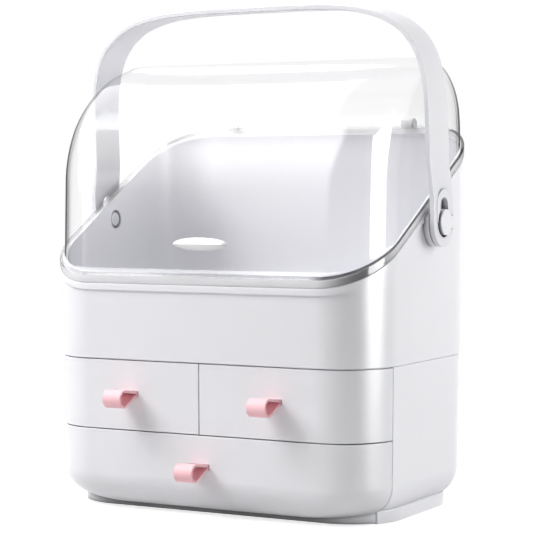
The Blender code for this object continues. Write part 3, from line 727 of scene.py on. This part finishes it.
# The flange's band, a little milky, with painted dark at its corners
clear_band = clear_plastic(
    "clear_band", (0.998, 0.998, 0.999), (0.10, 0.10, 0.11), 1.5, 0.05, 0.15, 0.7, milk=0.45
)
# Greyer clear plastic: painted dark along the flange's foot over the gap and down the hooks' sides
clear_painted_gap_dark = clear_plastic("clear_painted_gap_dark", (0.66, 0.66, 0.67), (0.20, 0.20, 0.21), 1.0, 0.03, 0.1, 0.8)
# Greyer clear plastic: a painted dark line along the flange's top edge
clear_painted_edge_dark = clear_plastic("clear_painted_edge_dark", (0.80, 0.80, 0.81), (0.03, 0.03, 0.03), 1.0, 0.03, 0.1, 0.9, 0.85)
lid_looks = (clear, clear_inner, clear_band, clear_painted_edge_dark, clear_painted_gap_dark)
looks = {"body": white, "inner": inner_white, "clear": clear, "grip": gloss_white, "strap": pink}


def piece(name, data, body, slot, *nodes):
    """A finished piece on its body, standing for these nodes of the frame."""
    data.transform(Matrix.Translation(body_shift))
    data.shade_smooth()
    data.set_sharp_from_angle(angle=sharp_angle)
    data.materials.clear()
    data.materials.append(looks[slot])
    made = placed(name, data)
    made.modifiers.new("shading", "WEIGHTED_NORMAL").keep_sharp = True
    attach(made, body)
    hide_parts(*nodes)


def shade_hollows(data, chosen):
    """Gives the faces whose every corner is chosen the white with painted shade darkening its hollows."""
    data.materials.append(painted_shade_white)
    for face in data.polygons:
        if all(chosen(data.vertices[index].co - body_shift) for index in face.vertices):
            face.material_index = 1


def near_pivot(corner):
    """Whether a corner lies on the tray's boss, which gets painted shade in its hollows."""
    return hypot(corner.y - pivot_y, corner.z - pivot_z) < boss_shade_radius


def near_floor(corner):
    """Whether a corner lies close over the floor, where the fronts get painted shade."""
    return corner.z < floor_shade_height


# The cabinet's walls


def wall_half(height, inset):
    """The cabinet's half width and half depth this high up, for a wall drawn in by inset."""
    return half_width - lean_at(height) - inset, half_depth - lean_at(height) - inset


def front_radius(inset, gap):
    """A front corner's radius, for a wall drawn in by inset, of which gap is its depth inside the outside."""
    return cabinet_corner - gap + front_swell_share * (inset - gap)


def cabinet_outline(height, inset, gap):
    """The cabinet's plan this high up. Down the rounding only the front corners keep their radius."""
    x, y = wall_half(height, inset)
    front = front_radius(inset, gap)
    rear = cabinet_corner - inset
    return plan_outline(-x, x, -y, y, (front, front, rear, rear))


def rounding_levels(lowest, gap):
    """(height, inset) pairs up the cabinet's lower rounding, for a wall this far inside the outside."""
    radius = underside_round - gap
    steepest = asin((rounding_centre - lowest) / radius)
    angles = [steepest * (1 - step / rounding_steps) for step in range(rounding_steps + 1)]
    return [(rounding_centre - radius * sin(a), gap + radius * (1 - cos(a))) for a in angles]


def rounding_rings(outline, lowest, gap, *more):
    """Rings up the lower rounding, of a wall with this outline."""
    levels = rounding_levels(lowest, gap)
    return [level(outline(height, inset, gap, *more), height) for height, inset in levels]


def wall_rings(outline, profile, *more):
    """Rings of a wall with this outline, from (gap, height) pairs."""
    return [level(outline(height, gap, gap, *more), height) for gap, height in profile]


def make_base():
    """A low plate with a skirt and a middle rail to stand on, cut off behind the bottom drawer's front."""
    outline = plan_outline(-plinth_half_x, plinth_half_x, plinth_front, plinth_rear, (plinth_corner,) * 4)
    front = side_seam_y + seam / 2
    reach = plinth_half_x + cut_overrun
    low = (-reach, plinth_front - cut_overrun, -cut_overrun)
    plate = skin("base", [level(outline, 0), level(outline, plinth_height)])
    plate = carved(plate, ("DIFFERENCE", block("cut", low, (reach, front, plinth_height + cut_overrun))))
    tight = plinth_skirt
    front_corner = plinth_front + plinth_corner - front - plinth_skirt
    rear_corner = plinth_corner - plinth_skirt
    corners = {-1: (front_corner, tight, tight, rear_corner), 1: (tight, front_corner, rear_corner, tight)}
    pockets = []
    for side, radii in corners.items():
        ends = span(side, plinth_rail_width / 2, plinth_half_x - plinth_skirt)
        pocket = plan_outline(*ends, front + plinth_skirt, plinth_rear - plinth_skirt, radii)
        rings = [level(pocket, -cut_overrun), level(pocket, plinth_height - plinth_plate)]
        pockets.append(("DIFFERENCE", skin("pocket", rings)))
    piece("base", carved(softened(plate, plinth_edge), *pockets), "body", "body", "base_plate")


def make_shell():
    """The lower body, open above and in front, with ledges for the shelf."""
    edge = wall_edge
    rings = rounding_rings(cabinet_outline, shell_bottom, 0)
    top = [(0, cabinet_top - 2 * edge, 0), (0, cabinet_top, edge), (cabinet_wall, cabinet_top, edge)]
    top.append((cabinet_wall, cabinet_top - 2 * edge, 0))
    rings += wall_rings(cabinet_outline, rounded(top))
    rings += rounding_rings(cabinet_outline, shell_floor, cabinet_wall)[::-1]
    reach = half_width + cut_overrun
    low = (-reach, -half_depth - cut_overrun, 0)
    high = (reach, side_seam_y + seam / 2, cabinet_top + cut_overrun)
    steps = [("DIFFERENCE", block("cut", low, high))]
    height = shelf_bottom - seat_gap
    foot = height - ledge_height
    wall_x, wall_y = wall_half(height, cabinet_wall)
    half = side_ledge_length / 2
    ledges = [(span(side, wall_x - ledge_depth, wall_x + weld_depth), (-half, half)) for side in (-1, 1)]
    half = rear_ledge_length / 2
    ledges.append(((-half, half), (wall_y - ledge_depth, wall_y + weld_depth)))
    for (left, right), (front, rear) in ledges:
        ledge = block("ledge", (left, front, foot), (right, rear, height))
        steps.append(("UNION", softened(ledge, edge)))
    piece("shell", carved(skin("shell", rings), *steps), "body", "body", "cabinet_shell")


# Drawers


def front_path(x, y, radius, left, right):
    """A path along a plan's front, left to right. An end of None goes round its corner to the side seam."""
    start = degrees(asin((side_seam_y - seam / 2 + y - radius) / -radius))
    points = []
    if left is None:
        points += arc((radius - x, radius - y), radius, 180 + start, 270, corner_steps)
    else:
        points.append((left, -y))
    if right is None:
        points += arc((x - radius, radius - y), radius, 270, 360 - start, corner_steps)
    else:
        points.append((right, -y))
    return points


def front_rows(levels, gap, left, right):
    """Rows of points up a drawer's front, for the face this far inside the cabinet's outside."""
    rows = []
    for height, inset in levels:
        sizes = (*wall_half(height, inset), front_radius(inset, gap))
        rows.append(level(front_path(*sizes, left, right), height))
    return rows


def small_front(side):
    """A small drawer's front, from the middle seam round its corner to the side seam."""
    heights = (front_seam_z + seam / 2, tray_bottom - seam)
    ends = (None, -seam / 2) if side < 0 else (seam / 2, None)
    faces = [front_rows([(height, gap) for height in heights], gap, *ends) for gap in (0, front_wall)]
    return softened(panel("front", *faces), wall_edge)


def bottom_front():
    """The bottom drawer's front, which runs down the rounding and carries the front stretch of the plinth."""
    high = front_seam_z - seam / 2
    lowest = rounding_centre - sqrt(underside_round**2 - plinth_skirt**2)
    faces = []
    for gap in (0, front_wall):
        faces.append(front_rows(rounding_levels(lowest + gap, gap) + [(high, gap)], gap, None, None))
    skirt = []
    for gap in (0, plinth_skirt):
        sizes = (plinth_half_x - gap, -plinth_front - gap, plinth_corner - gap)
        path = front_path(*sizes, None, None)
        skirt.append([level(path, height) for height in (plinth_floor_gap, plinth_height)])
    strip = softened(panel("strip", *skirt), wall_edge)
    return carved(softened(panel("front", *faces), wall_edge), ("UNION", strip))


def box_outline(height, inset, gap, side):
    """The plan of a drawer box this high up. A side of 0 is the full width."""
    forward = cabinet_wall + box_side_gap - front_wall - box_front_gap
    x, y = wall_half(height, inset)
    rear = y - box_rear_gap
    wide = front_radius(inset, gap)
    tight = max(box_inner_corner - (gap - cabinet_wall - box_side_gap), box_inner_corner / 3)
    inner_x = divider_thickness / 2 + box_side_gap + gap - cabinet_wall - box_side_gap
    rear_round = cabinet_corner - inset
    left, right, radii = {
        -1: (-x, -inner_x, (wide, tight, tight, rear_round)),
        0: (-x, x, (wide, wide, rear_round, rear_round)),
        1: (inner_x, x, (tight, wide, rear_round, tight)),
    }[side]
    return plan_outline(left, right, -y - forward, rear, radii)


def box_top(top):
    """(gap, height) pairs over the rounded top edge of a drawer box."""
    low = top - 2 * box_edge
    return rounded([(box_out, low, 0), (box_out, top, box_edge), (box_in, top, box_edge), (box_in, low, 0)])


def small_box(side):
    """A small drawer's box, open above, with a rounded floor edge inside."""
    bottom = shelf_top + box_floor_gap
    foot = bottom + box_wall
    edge = box_edge
    deep = 2 * edge
    path = rounded([(box_out + deep, bottom, 0), (box_out, bottom, edge), (box_out, bottom + deep, 0)])
    path += box_top(tray_bottom - locator_depth - small_box_headroom)
    path += rounded([(box_in, foot + 4 * edge, 0), (box_in, foot, 2 * edge), (box_in + 4 * edge, foot, 0)])
    return skin("box", wall_rings(box_outline, path, side))


def bottom_box():
    """The bottom drawer's box, which follows the cabinet's rounding, open above."""
    bottom = shell_floor + box_floor_gap
    rings = rounding_rings(box_outline, bottom, box_out, 0)
    rings += wall_rings(box_outline, box_top(shelf_bottom - seat_gap - ledge_height - bottom_box_headroom), 0)
    rings += rounding_rings(box_outline, bottom + box_wall, box_in, 0)[::-1]
    return skin("box", rings)


def strap_outlines():
    """The strap's side view, its outside and its hole, forward from the front's face and up from its slot."""
    centre = (strap_reach - strap_nose, -strap_nose_drop)
    slopes = []
    for side in (1, -1):
        root = (0, side * strap_thickness)
        to_centre = atan2(centre[1] - root[1], centre[0] - root[0])
        slopes.append(to_centre + side * asin(strap_nose / dist(root, centre)))
    upper, lower = slopes
    start = 90 + degrees(upper)
    end = degrees(lower) - 90
    depth = front_wall + box_front_gap + box_wall + seat_gap + clip_thickness + seat_gap
    tail = -depth - strap_bead_length
    bead = strap_bead_height / 2
    outer = arc(centre, strap_nose, start, end, 2 * corner_steps)
    outer += [(0, -strap_thickness), (-depth, -strap_thickness), (-depth, -bead), (tail, -bead)]
    outer += [(tail, bead), (-depth, bead), (-depth, strap_thickness), (0, strap_thickness)]
    inner = arc(centre, strap_nose - strap_thickness, start, end, 2 * corner_steps)
    first = inner[0]
    last = inner[-1]
    rise = last[1] - first[1] + first[0] * tan(upper) - last[0] * tan(lower)
    crease = rise / (tan(upper) - tan(lower))
    inner.append((crease, first[1] + (crease - first[0]) * tan(upper)))
    return outer, inner


def pull_face(middle):
    """Where the front's face is along Y at the height of a pull's slot."""
    return -half_depth + lean_at(middle)


def slot_cut(x, middle):
    """A cutter for the slot that the strap passes through, in the front and the box."""
    across_half = strap_width / 2 + strap_slot_side_gap
    up_half = strap_thickness + strap_slot_gap
    face = pull_face(middle)
    back = face + front_wall + box_front_gap + box_wall + cut_overrun
    low = (x - across_half, face - cut_overrun, middle - up_half)
    return "DIFFERENCE", block("slot", low, (x + across_half, back, middle + up_half))


def strap(x, middle):
    """A strap looped through the drawer's front and box."""
    face = pull_face(middle)
    outer, hole = ([(face - u, middle + v) for u, v in outline] for outline in strap_outlines())
    left = x - strap_width / 2
    right = x + strap_width / 2
    band = softened(prism("strap", outer, left, right), strap_edge)
    return carved(band, ("DIFFERENCE", prism("hole", hole, left - cut_overrun, right + cut_overrun)))


def make_drawers():
    """Each drawer's front, box and strap, on the drawer's own body."""
    for side, name in ((-1, "left"), (1, "right"), (0, "bottom")):
        x = side * small_pull_x
        middle = small_pull_z if side else bottom_pull_z
        body = f"{name}_drawer"
        front = carved(small_front(side) if side else bottom_front(), slot_cut(x, middle))
        piece(f"front_{name}", front, body, "body", f"drawer_front_{name}")
        # Painted shade on the front's lowest faces, in the shadow under the body near the floor
        shade_hollows(front, near_floor)
        box = carved(small_box(side) if side else bottom_box(), slot_cut(x, middle))
        piece(f"box_{name}", box, body, "inner", f"drawer_box_{name}")
        piece(f"strap_{name}", strap(x, middle), body, "strap", f"pull_{name}")


# Tray


def tray_outline(gap):
    """The tray's plan as a function of height, for a face this far inside its outside."""

    def outline_at(height):
        out = tray_proud + tray_lean_share * (height - tray_bottom) - gap
        x = half_width + out
        y = half_depth + out
        return plan_outline(-x, x, -y, y, (cabinet_corner + out,) * 4)

    return outline_at


def tray_rings(profile):
    """Level rings of the tray's wall, from (gap, height) pairs."""
    return [level(tray_outline(gap)(height), height) for gap, height in profile]


def boss_outline(inset):
    """The round boss in Y and Z, drawn in by inset, with its top cut off flat under the rim."""
    flat = cos(rim_angle) * (rim_over(0)(pivot_y) - pivot_z) - seat_gap - inset
    normal = pi / 2 + rim_angle
    points = []
    for angle in circle_angles:
        towards = cos(angle - normal)
        radius = boss_radius - inset
        radius = min(radius, flat / towards) if towards > 0 else radius
        points.append((pivot_y + radius * cos(angle), pivot_z + radius * sin(angle)))
    return points


def boss(side):
    """A boss on the tray's side, with its outer edge rounded."""
    start = tray_side_x - weld_depth
    path = rounded([(0, start, 0), (0, boss_face, boss_edge), (2 * boss_edge, boss_face, 0)])
    return skin("boss", [across(boss_outline(inset), side * x) for inset, x in path])


def ear_outline():
    """A hinge ear in Y and Z: an eye round the pin, joined to the tray's rear wall."""
    root_z = hinge_z - ear_root_drop
    root_y = tray_wall_at(half_depth, root_z) - tray_wall / 3
    eye = arc((hinge_y, hinge_z), eye_radius, 180, -45, corner_steps)
    return [(root_y, root_z), *eye, (root_y, hinge_z - ear_foot_drop)]


def hinge_bore(side, reach):
    """A cutter for a hinge pin's bore, reaching this far to both sides of the hinge's middle."""
    ends = [(hinge_x - reach, pin_radius + seat_gap), (hinge_x + reach, pin_radius + seat_gap)]
    return "DIFFERENCE", turned("drill", ends, (hinge_y, hinge_z), side)


def between_rings(outline_at, low_over, high_over):
    """Rings spaced evenly between two surfaces, leaving out the surfaces themselves."""
    rings = []
    for step in range(1, wall_steps):
        share = step / wall_steps
        rings.append(slanted(outline_at, lambda y, s=share: low_over(y) + (high_over(y) - low_over(y)) * s))
    return rings


def make_tray():
    """The upper body: a deep tray with a slanted rim, a lip, a tongue for the lid, bosses and hinge ears."""
    inside = cabinet_wall + locator_gap
    locator = cabinet_outline(cabinet_top, inside, inside)
    locator_inner = cabinet_outline(cabinet_top, inside + locator_wall, inside + locator_wall)
    locator_bottom = tray_bottom - locator_depth
    tongue_gap = tray_wall - tongue_wall
    floor = tray_bottom + tray_floor
    edge = tray_foot_edge
    rings = [level(locator_inner, tray_bottom), level(locator_inner, locator_bottom)]
    rings += [level(locator, locator_bottom), level(locator, tray_bottom)]
    foot = rounded([(2 * edge, tray_bottom, 0), (0, tray_bottom, edge), (0, tray_bottom + 2 * edge, 0)])
    rings += tray_rings(foot)
    rings += between_rings(tray_outline(0), lambda y: tray_bottom, rim_over(-lip_height - lip_proud))
    lip_foot = -lip_height - lip_proud / 2
    profile = [
        (0, lip_foot - lip_proud / 2, 0),
        (0, lip_foot, 0),
        (-lip_proud, -lip_height, lip_edge / 2),
        (-lip_proud, 0, lip_edge),
        (tongue_gap, 0, 0),
        (tongue_gap, tongue_height, tongue_wall / 3),
        (tray_wall, tongue_height, tongue_wall / 3),
        (tray_wall, 0, 0),
    ]
    rings += [slanted(tray_outline(gap), rim_over(rise)) for gap, rise in rounded(profile)]
    low = floor + tray_floor_round
    rings += between_rings(tray_outline(tray_wall), lambda y: low, rim_over(0))[::-1]
    turns = [(1 - cos(angle), 1 - sin(angle)) for angle in quarter(rounding_steps)]
    rings += tray_rings((tray_wall + tray_floor_round * a, floor + tray_floor_round * b) for a, b in turns)
    start = tray_side_x - tray_wall
    hole = spigot_radius + seat_gap
    profile = [
        (start - cut_overrun, pocket_radius + pocket_edge),
        (start, pocket_radius + pocket_edge),
        (start + pocket_edge, pocket_radius),
        (pocket_floor, pocket_radius),
        (pocket_floor, hole),
        (boss_face + cut_overrun, hole),
    ]
    near = hook_width / 2 + ear_gap
    joined = []
    drilled = []
    for side in (-1, 1):
        joined.append(("UNION", boss(side)))
        for ear_side in (-1, 1):
            start = hinge_x + ear_side * near
            ends = span(side, start, start + ear_side * ear_thickness)
            joined.append(added("ear", ear_outline(), ends, ear_edge))
        drilled.append(("DIFFERENCE", turned("drill", profile, (pivot_y, pivot_z), side)))
        drilled.append(hinge_bore(side, near + ear_thickness + cut_overrun))
    data = carved(skin("tray", rings), *joined, *drilled)
    piece("tray_body", data, "body", "body", "tray")
    # Painted shade on the boss round the pivot, behind the handle's end
    shade_hollows(data, near_pivot)


# Lid


def curve_inset(height, top, start, depth, power):
    """How far a wall has curved in at this height, from upright at start to flat at top."""
    share = min(max((height - start) / (top - start), 0), 1)
    return depth * (1 - (1 - share**power) ** (1 / power))


def hood_outline(wall):
    """The clear hood's plan as a function of height, for a face this far inside its outside."""
    top = hood_top - wall

    def outline_at(height):
        side, front, rear = (curve_inset(height, top, *curve) for curve in hood_curves)
        x = hood_half_x - wall - side
        y_front = -hood_front + hood_lean_share * (height - hood_front_z) + wall + front
        y_rear = hood_rear - wall - rear
        share = min(max((height - hood_front_z) / (top - hood_front_z), 0), 1)
        radius = cabinet_corner + (hood_top_corner - cabinet_corner) * share - wall
        radius = min(radius, (y_rear - y_front) / 2 - seat_gap)
        return plan_outline(-x, x, y_front, y_rear, (radius,) * 4)

    return outline_at


def hood_rings(wall, base_rise):
    """Rings up the hood, from the slanted rim raised by base_rise to the flat top, closer near the top."""
    outline_at = hood_outline(wall)
    top = hood_top - wall
    base = rim_over(base_rise)
    rings = []
    for angle in quarter(hood_steps)[:-1]:
        share = sin(angle)
        rings.append(slanted(outline_at, lambda y, share=share: base(y) + (top - base(y)) * share))
    rings.append(level(outline_at(top), top))
    return rings


def hook_outline():
    """A lid hook in Y and Z: up from the flange, over, and down to an eye round the pin."""
    half = hook_thickness / 2
    reach = (hinge_y - hook_leg_y) / 2
    arch = (hook_leg_y + reach, hook_top - reach - half)
    foot = rim_over(flange_height - flange_wall / 2)
    opening = degrees(acos(half / eye_radius))
    outline = [(hook_leg_y - half, foot(hook_leg_y - half))]
    outline += arc(arch, reach + half, 180, 0, corner_steps)
    outline += arc((hinge_y, hinge_z), eye_radius, opening, -180 - opening, 2 * corner_steps)
    outline += arc(arch, reach - half, 0, 180, corner_steps)
    outline.append((hook_leg_y + half, foot(hook_leg_y + half)))
    return outline


def hood_foot(share):
    """A plan between the hood's own (0) and the flange's top edge (1), as a function of height."""
    hood = hood_outline(0)
    flange = tray_outline(flange_edge - lip_proud)

    def outline_at(height):
        pairs = zip(hood(height), flange(height))
        return [tuple(a + (b - a) * share for a, b in zip(inner, outer)) for inner, outer in pairs]

    return outline_at


def lid_look(centre, normal):
    """The clear material for a face of the lid with this centre and normal, with painted dark on the flange's
    top edge, its foot and the hooks' sides.
    """
    rise = centre.z - rim_over(0)(centre.y)
    if centre.y > hook_leg_y - hook_thickness:
        return clear_painted_gap_dark if abs(normal.x) > hook_side_facing else clear_band
    if rise > flange_web + line_slack and normal.dot(centre - Vector((0, 0, hood_front_z))) < 0:
        return clear_inner
    if rise > flange_height + line_slack:
        return clear
    if rise > flange_height - flange_edge:
        return clear_painted_edge_dark
    return clear_painted_gap_dark if rise < lid_gap + flange_edge / 2 else clear_band


def make_hood():
    """The clear lid: a flange over the tray's tongue, a hood with a deep front curve, and two hinge hooks."""
    inner_gap = flange_wall - lip_proud
    profile = [
        (inner_gap, flange_web, 0),
        (inner_gap, lid_gap, 0),
        (-lip_proud, lid_gap, flange_edge / 2),
        (-lip_proud, flange_height, flange_edge),
        (flange_edge - lip_proud, flange_height, 0),
    ]
    rings = hood_rings(hood_wall, flange_web)[::-1]
    rings += [slanted(tray_outline(gap), rim_over(rise)) for gap, rise in rounded(profile)]
    for angle in quarter(fillet_steps):
        foot = hood_foot(foot_share * (1 - sin(angle)))
        rings.append(slanted(foot, rim_over(flange_height + foot_rise * (1 - cos(angle)))))
    rings += hood_rings(0, flange_height + foot_rise)[1:]
    steps = []
    for side in (-1, 1):
        ends = span(side, hinge_x - hook_width / 2, hinge_x + hook_width / 2)
        steps.append(added("hook", hook_outline(), ends, hook_edge))
        steps.append(hinge_bore(side, hook_width / 2 + cut_overrun / 2))
    data = carved(skin("hood", rings), *steps)
    piece("hood", data, "lid", "clear", "lid")
    for material in lid_looks[1:]:
        data.materials.append(material)
    for face in data.polygons:
        face.material_index = lid_looks.index(lid_look(face.center - body_shift, face.normal))


def make_grip():
    """A lens-shaped grip, domed to a soft level ridge, on the front of the hood."""
    face = -hood_front + hood_lean_share * (grip_z - grip_half_height - hood_front_z) - seat_gap
    rings = []
    for depth_share, across_share, up_share in grip_stations:
        y = face - grip_rise_out * depth_share
        half_x = grip_half_width * across_share
        half_z = grip_half_height * up_share
        rings.append([(half_x * cos(a), y, grip_z + half_z * sin(a)) for a in circle_angles])
    piece("grip", skin("grip", rings), "lid", "grip", "lid_grip")


# Handle


def arm_x(height):
    """How far out the arm's outside is: it spreads a little towards the pivot."""
    share = (handle_straight - height) / (handle_straight - handle_end_radius)
    return handle_half_span + (handle_pivot_span - handle_half_span) * min(share, 1)


def handle_stations():
    """(x outside, height above the pivot, half width) along the handle, from its right end to its middle."""
    half = handle_width / 2
    meets = 180 - degrees(asin(half / handle_end_radius))
    stations = []
    for step in range(end_steps + 1):
        angle = radians(meets * (step + 1) / (end_steps + 1))
        height = -handle_end_radius * cos(angle)
        stations.append((arm_x(height), height, handle_end_radius * sin(angle)))
    stations.append((handle_pivot_span, handle_end_radius, half))
    for angle in quarter(arch_steps):
        x = handle_half_span * cos(angle) ** (2 / handle_arch_power)
        height = handle_straight + handle_arch * sin(angle) ** (2 / handle_arch_power)
        stations.append((x, height, half))
    return stations


def handle_section(half):
    """The handle's section as (across, inward) pairs, a flat band with rounded edges."""
    edge = min(handle_edge, half * handle_edge_share)
    return plan_outline(-half, half, 0, handle_thickness, (edge,) * 4, fillet_steps)


def handle_rings():
    """Rings along the handle, square to its path."""
    half_path = handle_stations()
    path = half_path + [(-x, height, half) for x, height, half in reversed(half_path[:-1])]
    rings = []
    for place, (x, height, half) in enumerate(path):
        before = path[max(place - 1, 0)]
        after = path[min(place + 1, len(path) - 1)]
        along = Vector((after[0] - before[0], after[1] - before[1])).normalized()
        inward = Vector((-along.y, along.x))
        rings.append([(x + inward.x * v, u, height + inward.y * v) for u, v in handle_section(half)])
    return rings


def keyhole_outline(margin):
    """The lobe of the keyhole in Y and Z round the pivot, widened by a margin."""
    half = keyhole_lobe_half + margin
    outline = arc((0, keyhole_reach - keyhole_lobe_half), half, 0, 180, corner_steps)
    return outline + [(-half, 0), (half, 0)]


def make_handle():
    """The carrying hoop with its keyholes, laid out upright round its pivot and then tilted forward."""
    reach = handle_pivot_span + cut_overrun
    steps = []
    for side in (-1, 1):
        ends = span(side, handle_pivot_span - pad_proud, handle_pivot_span + pad_proud)
        steps.append(added("pad", keyhole_outline(keyhole_pad), ends, pad_proud))
    steps.append(("DIFFERENCE", prism("lobe", keyhole_outline(0), -reach, reach)))
    hole = [(-reach, keyhole_radius), (reach, keyhole_radius)]
    steps.append(("DIFFERENCE", turned("hole", hole, (0, 0))))
    data = carved(skin("handle", handle_rings()), *steps)
    data.transform(Matrix.Translation((0, pivot_y, pivot_z)) @ Matrix.Rotation(handle_tilt, 4, "X"))
    piece("carry_handle", data, "handle", "body", "handle")
    # The handle gets the darker painted white, with painted shade in its hollows too
    data.materials[0] = handle_darker_painted_white


def make_studs():
    """Round studs with a locking tab that hold the handle's ends."""
    face = handle_pivot_span + stud_proud
    bore = screw_radius + seat_gap
    profile = [
        (pocket_floor + screw_length + running_gap, bore),
        (pocket_floor + seat_gap, bore),
        (pocket_floor + seat_gap, spigot_radius),
        (boss_face + seat_gap, spigot_radius),
        (boss_face + seat_gap, stud_radius),
    ]
    rim = [(face - 2 * stud_edge, stud_radius, 0), (face, stud_radius, stud_edge), (face, 0, 0)]
    profile += rounded(rim)[:-1]
    tab = arc((pivot_y + tab_reach - tab_half_width, pivot_z), tab_half_width, -90, 90, corner_steps)
    tab += [(pivot_y, pivot_z + tab_half_width), (pivot_y, pivot_z - tab_half_width)]
    for side, name in ((-1, "left"), (1, "right")):
        ends = span(side, handle_pivot_span + seat_gap, face - stud_edge)
        data = carved(turned("stud", profile, (pivot_y, pivot_z), side), added("tab", tab, ends, tab_edge))
        piece(f"stud_{name}", data, "body", "body", f"handle_stud_{name}")
        # Painted shade darkens the stud's hollows
        data.materials[0] = painted_shade_white


# Stage, light and camera


def stage_material():
    """White to the eye, while the floor still takes the object's shadow close by."""
    tree = Tree(bpy.data.materials.new("stage"))
    length = tree.node("ShaderNodeVectorMath", {"operation": "LENGTH"})
    tree.feed(length, "0", tree.node("ShaderNodeTexCoord").outputs["Object"])
    far = tree.ranged(length.outputs["Value"], *shadow_ends, 0.0, 1.0)
    near = tree.node("ShaderNodeAddShader")
    tree.feed(near, "0", tree.shader("ShaderNodeEmission", Strength=floor_glow))
    tree.feed(near, "1", tree.shader("ShaderNodeBsdfDiffuse", Color=grey(floor_paint)))
    shown = tree.mixed(far, near.outputs[0], tree.shader("ShaderNodeEmission", Strength=1.0))
    bounce = tree.shader("ShaderNodeBsdfDiffuse", Color=grey(floor_bounce))
    return tree.closed(tree.mixed(tree.seen(), bounce, shown))


def make_floor():
    """A round floor under the object."""
    mesh = bmesh.new()
    outline = arc((0, 0), floor_radius, 0, 360, circle_steps)[:-1]
    mesh.faces.new([mesh.verts.new(point) for point in level(outline, 0)])
    floor = placed("floor", finished(mesh, "floor"))
    floor.data.materials.append(stage_material())


def make_world():
    """White to the eye and to gloss, and a moderate fill for the rest."""
    tree = Tree(bpy.data.worlds.new("studio"))
    fill = tree.shader("ShaderNodeBackground", Color=grey(1.0), Strength=world_fill)
    backdrop = tree.shader("ShaderNodeBackground", Color=grey(1.0), Strength=1.0)
    bpy.context.scene.world = tree.closed(tree.mixed(tree.seen(), fill, backdrop), "ShaderNodeOutputWorld")


def fade(lamp, fades):
    """Lets a lamp fall off over its face: for each of its axes, (share of its size, strength) stops."""
    tree = Tree(lamp)
    face = tree.node("ShaderNodeSeparateXYZ", Vector=tree.node("ShaderNodeNewGeometry").outputs["Parametric"])
    ramps = []
    for axis, stops in enumerate(fades):
        ramp = tree.node("ShaderNodeValToRGB", Fac=face.outputs[axis])
        elements = ramp.color_ramp.elements
        for count, (share, strength) in enumerate(stops):
            element = elements[count] if count < 2 else elements.new(share)
            element.position = share
            element.color = grey(strength)
        ramps.append(ramp.outputs["Color"])
    glow = tree.shader("ShaderNodeEmission", Color=grey(1.0), Strength=tree.times(*ramps))
    tree.closed(glow, "ShaderNodeOutputLight")


def make_lamp(name, direction, distance, size, power, lights, fades=()):
    """A soft rectangular lamp aimed at the middle of the object, from degrees round from the front and up."""
    round_by, up_by = (radians(angle) for angle in direction)
    level_part = cos(up_by)
    way = Vector((sin(round_by) * level_part, -cos(round_by) * level_part, sin(up_by)))
    lamp = bpy.data.lights.new(name, "AREA")
    lamp.shape = "RECTANGLE"
    lamp.size, lamp.size_y = size
    lamp.energy = power
    if fades:
        fade(lamp, fades)
    made = placed(name, lamp)
    made.location = Vector((0, 0, lamp_aim_height)) + way * distance
    made.rotation_euler = (-way).to_track_quat("-Z", "Y").to_euler()
    made.visible_diffuse = lights == "diffuse"
    made.visible_glossy = lights == "glossy"


def make_camera():
    """The camera where the photograph was taken from."""
    yaw, pitch, roll = (radians(angle) for angle in camera_turns)
    ahead = Vector((-sin(yaw) * cos(pitch), cos(yaw) * cos(pitch), -sin(pitch)))
    right = Vector((cos(yaw), sin(yaw), 0))
    up = right.cross(ahead)
    right, up = right * cos(roll) + up * sin(roll), up * cos(roll) - right * sin(roll)
    data = bpy.data.cameras.new("camera")
    data.lens = camera_lens
    data.sensor_width = camera_film
    made = placed("camera", data)
    made.location = Vector(camera_place) + body_shift
    made.rotation_euler = Matrix((right, up, -ahead)).transposed().to_euler()
    bpy.context.scene.camera = made


def dress_frame():
    """The frame's own nodes that stay in sight get their finished materials."""
    inner = ["middle_shelf", "centre_divider"] + [f"pull_clip_{name}" for name in ("left", "right", "bottom")]
    metal = [f"{kind}_{side}" for kind in ("hinge_pin", "stud_screw") for side in ("left", "right")]
    for names, material in ((inner, inner_white), (metal, steel)):
        for name in names:
            for place in frame["nodes"][name].material_slots:
                place.material = material


make_base()
make_shell()
make_drawers()
make_tray()
make_hood()
make_grip()
make_handle()
make_studs()
dress_frame()
make_floor()
make_world()
for lamp_values in lamps:
    make_lamp(*lamp_values)
make_camera()
bpy.context.scene.view_settings.view_transform = "Standard"
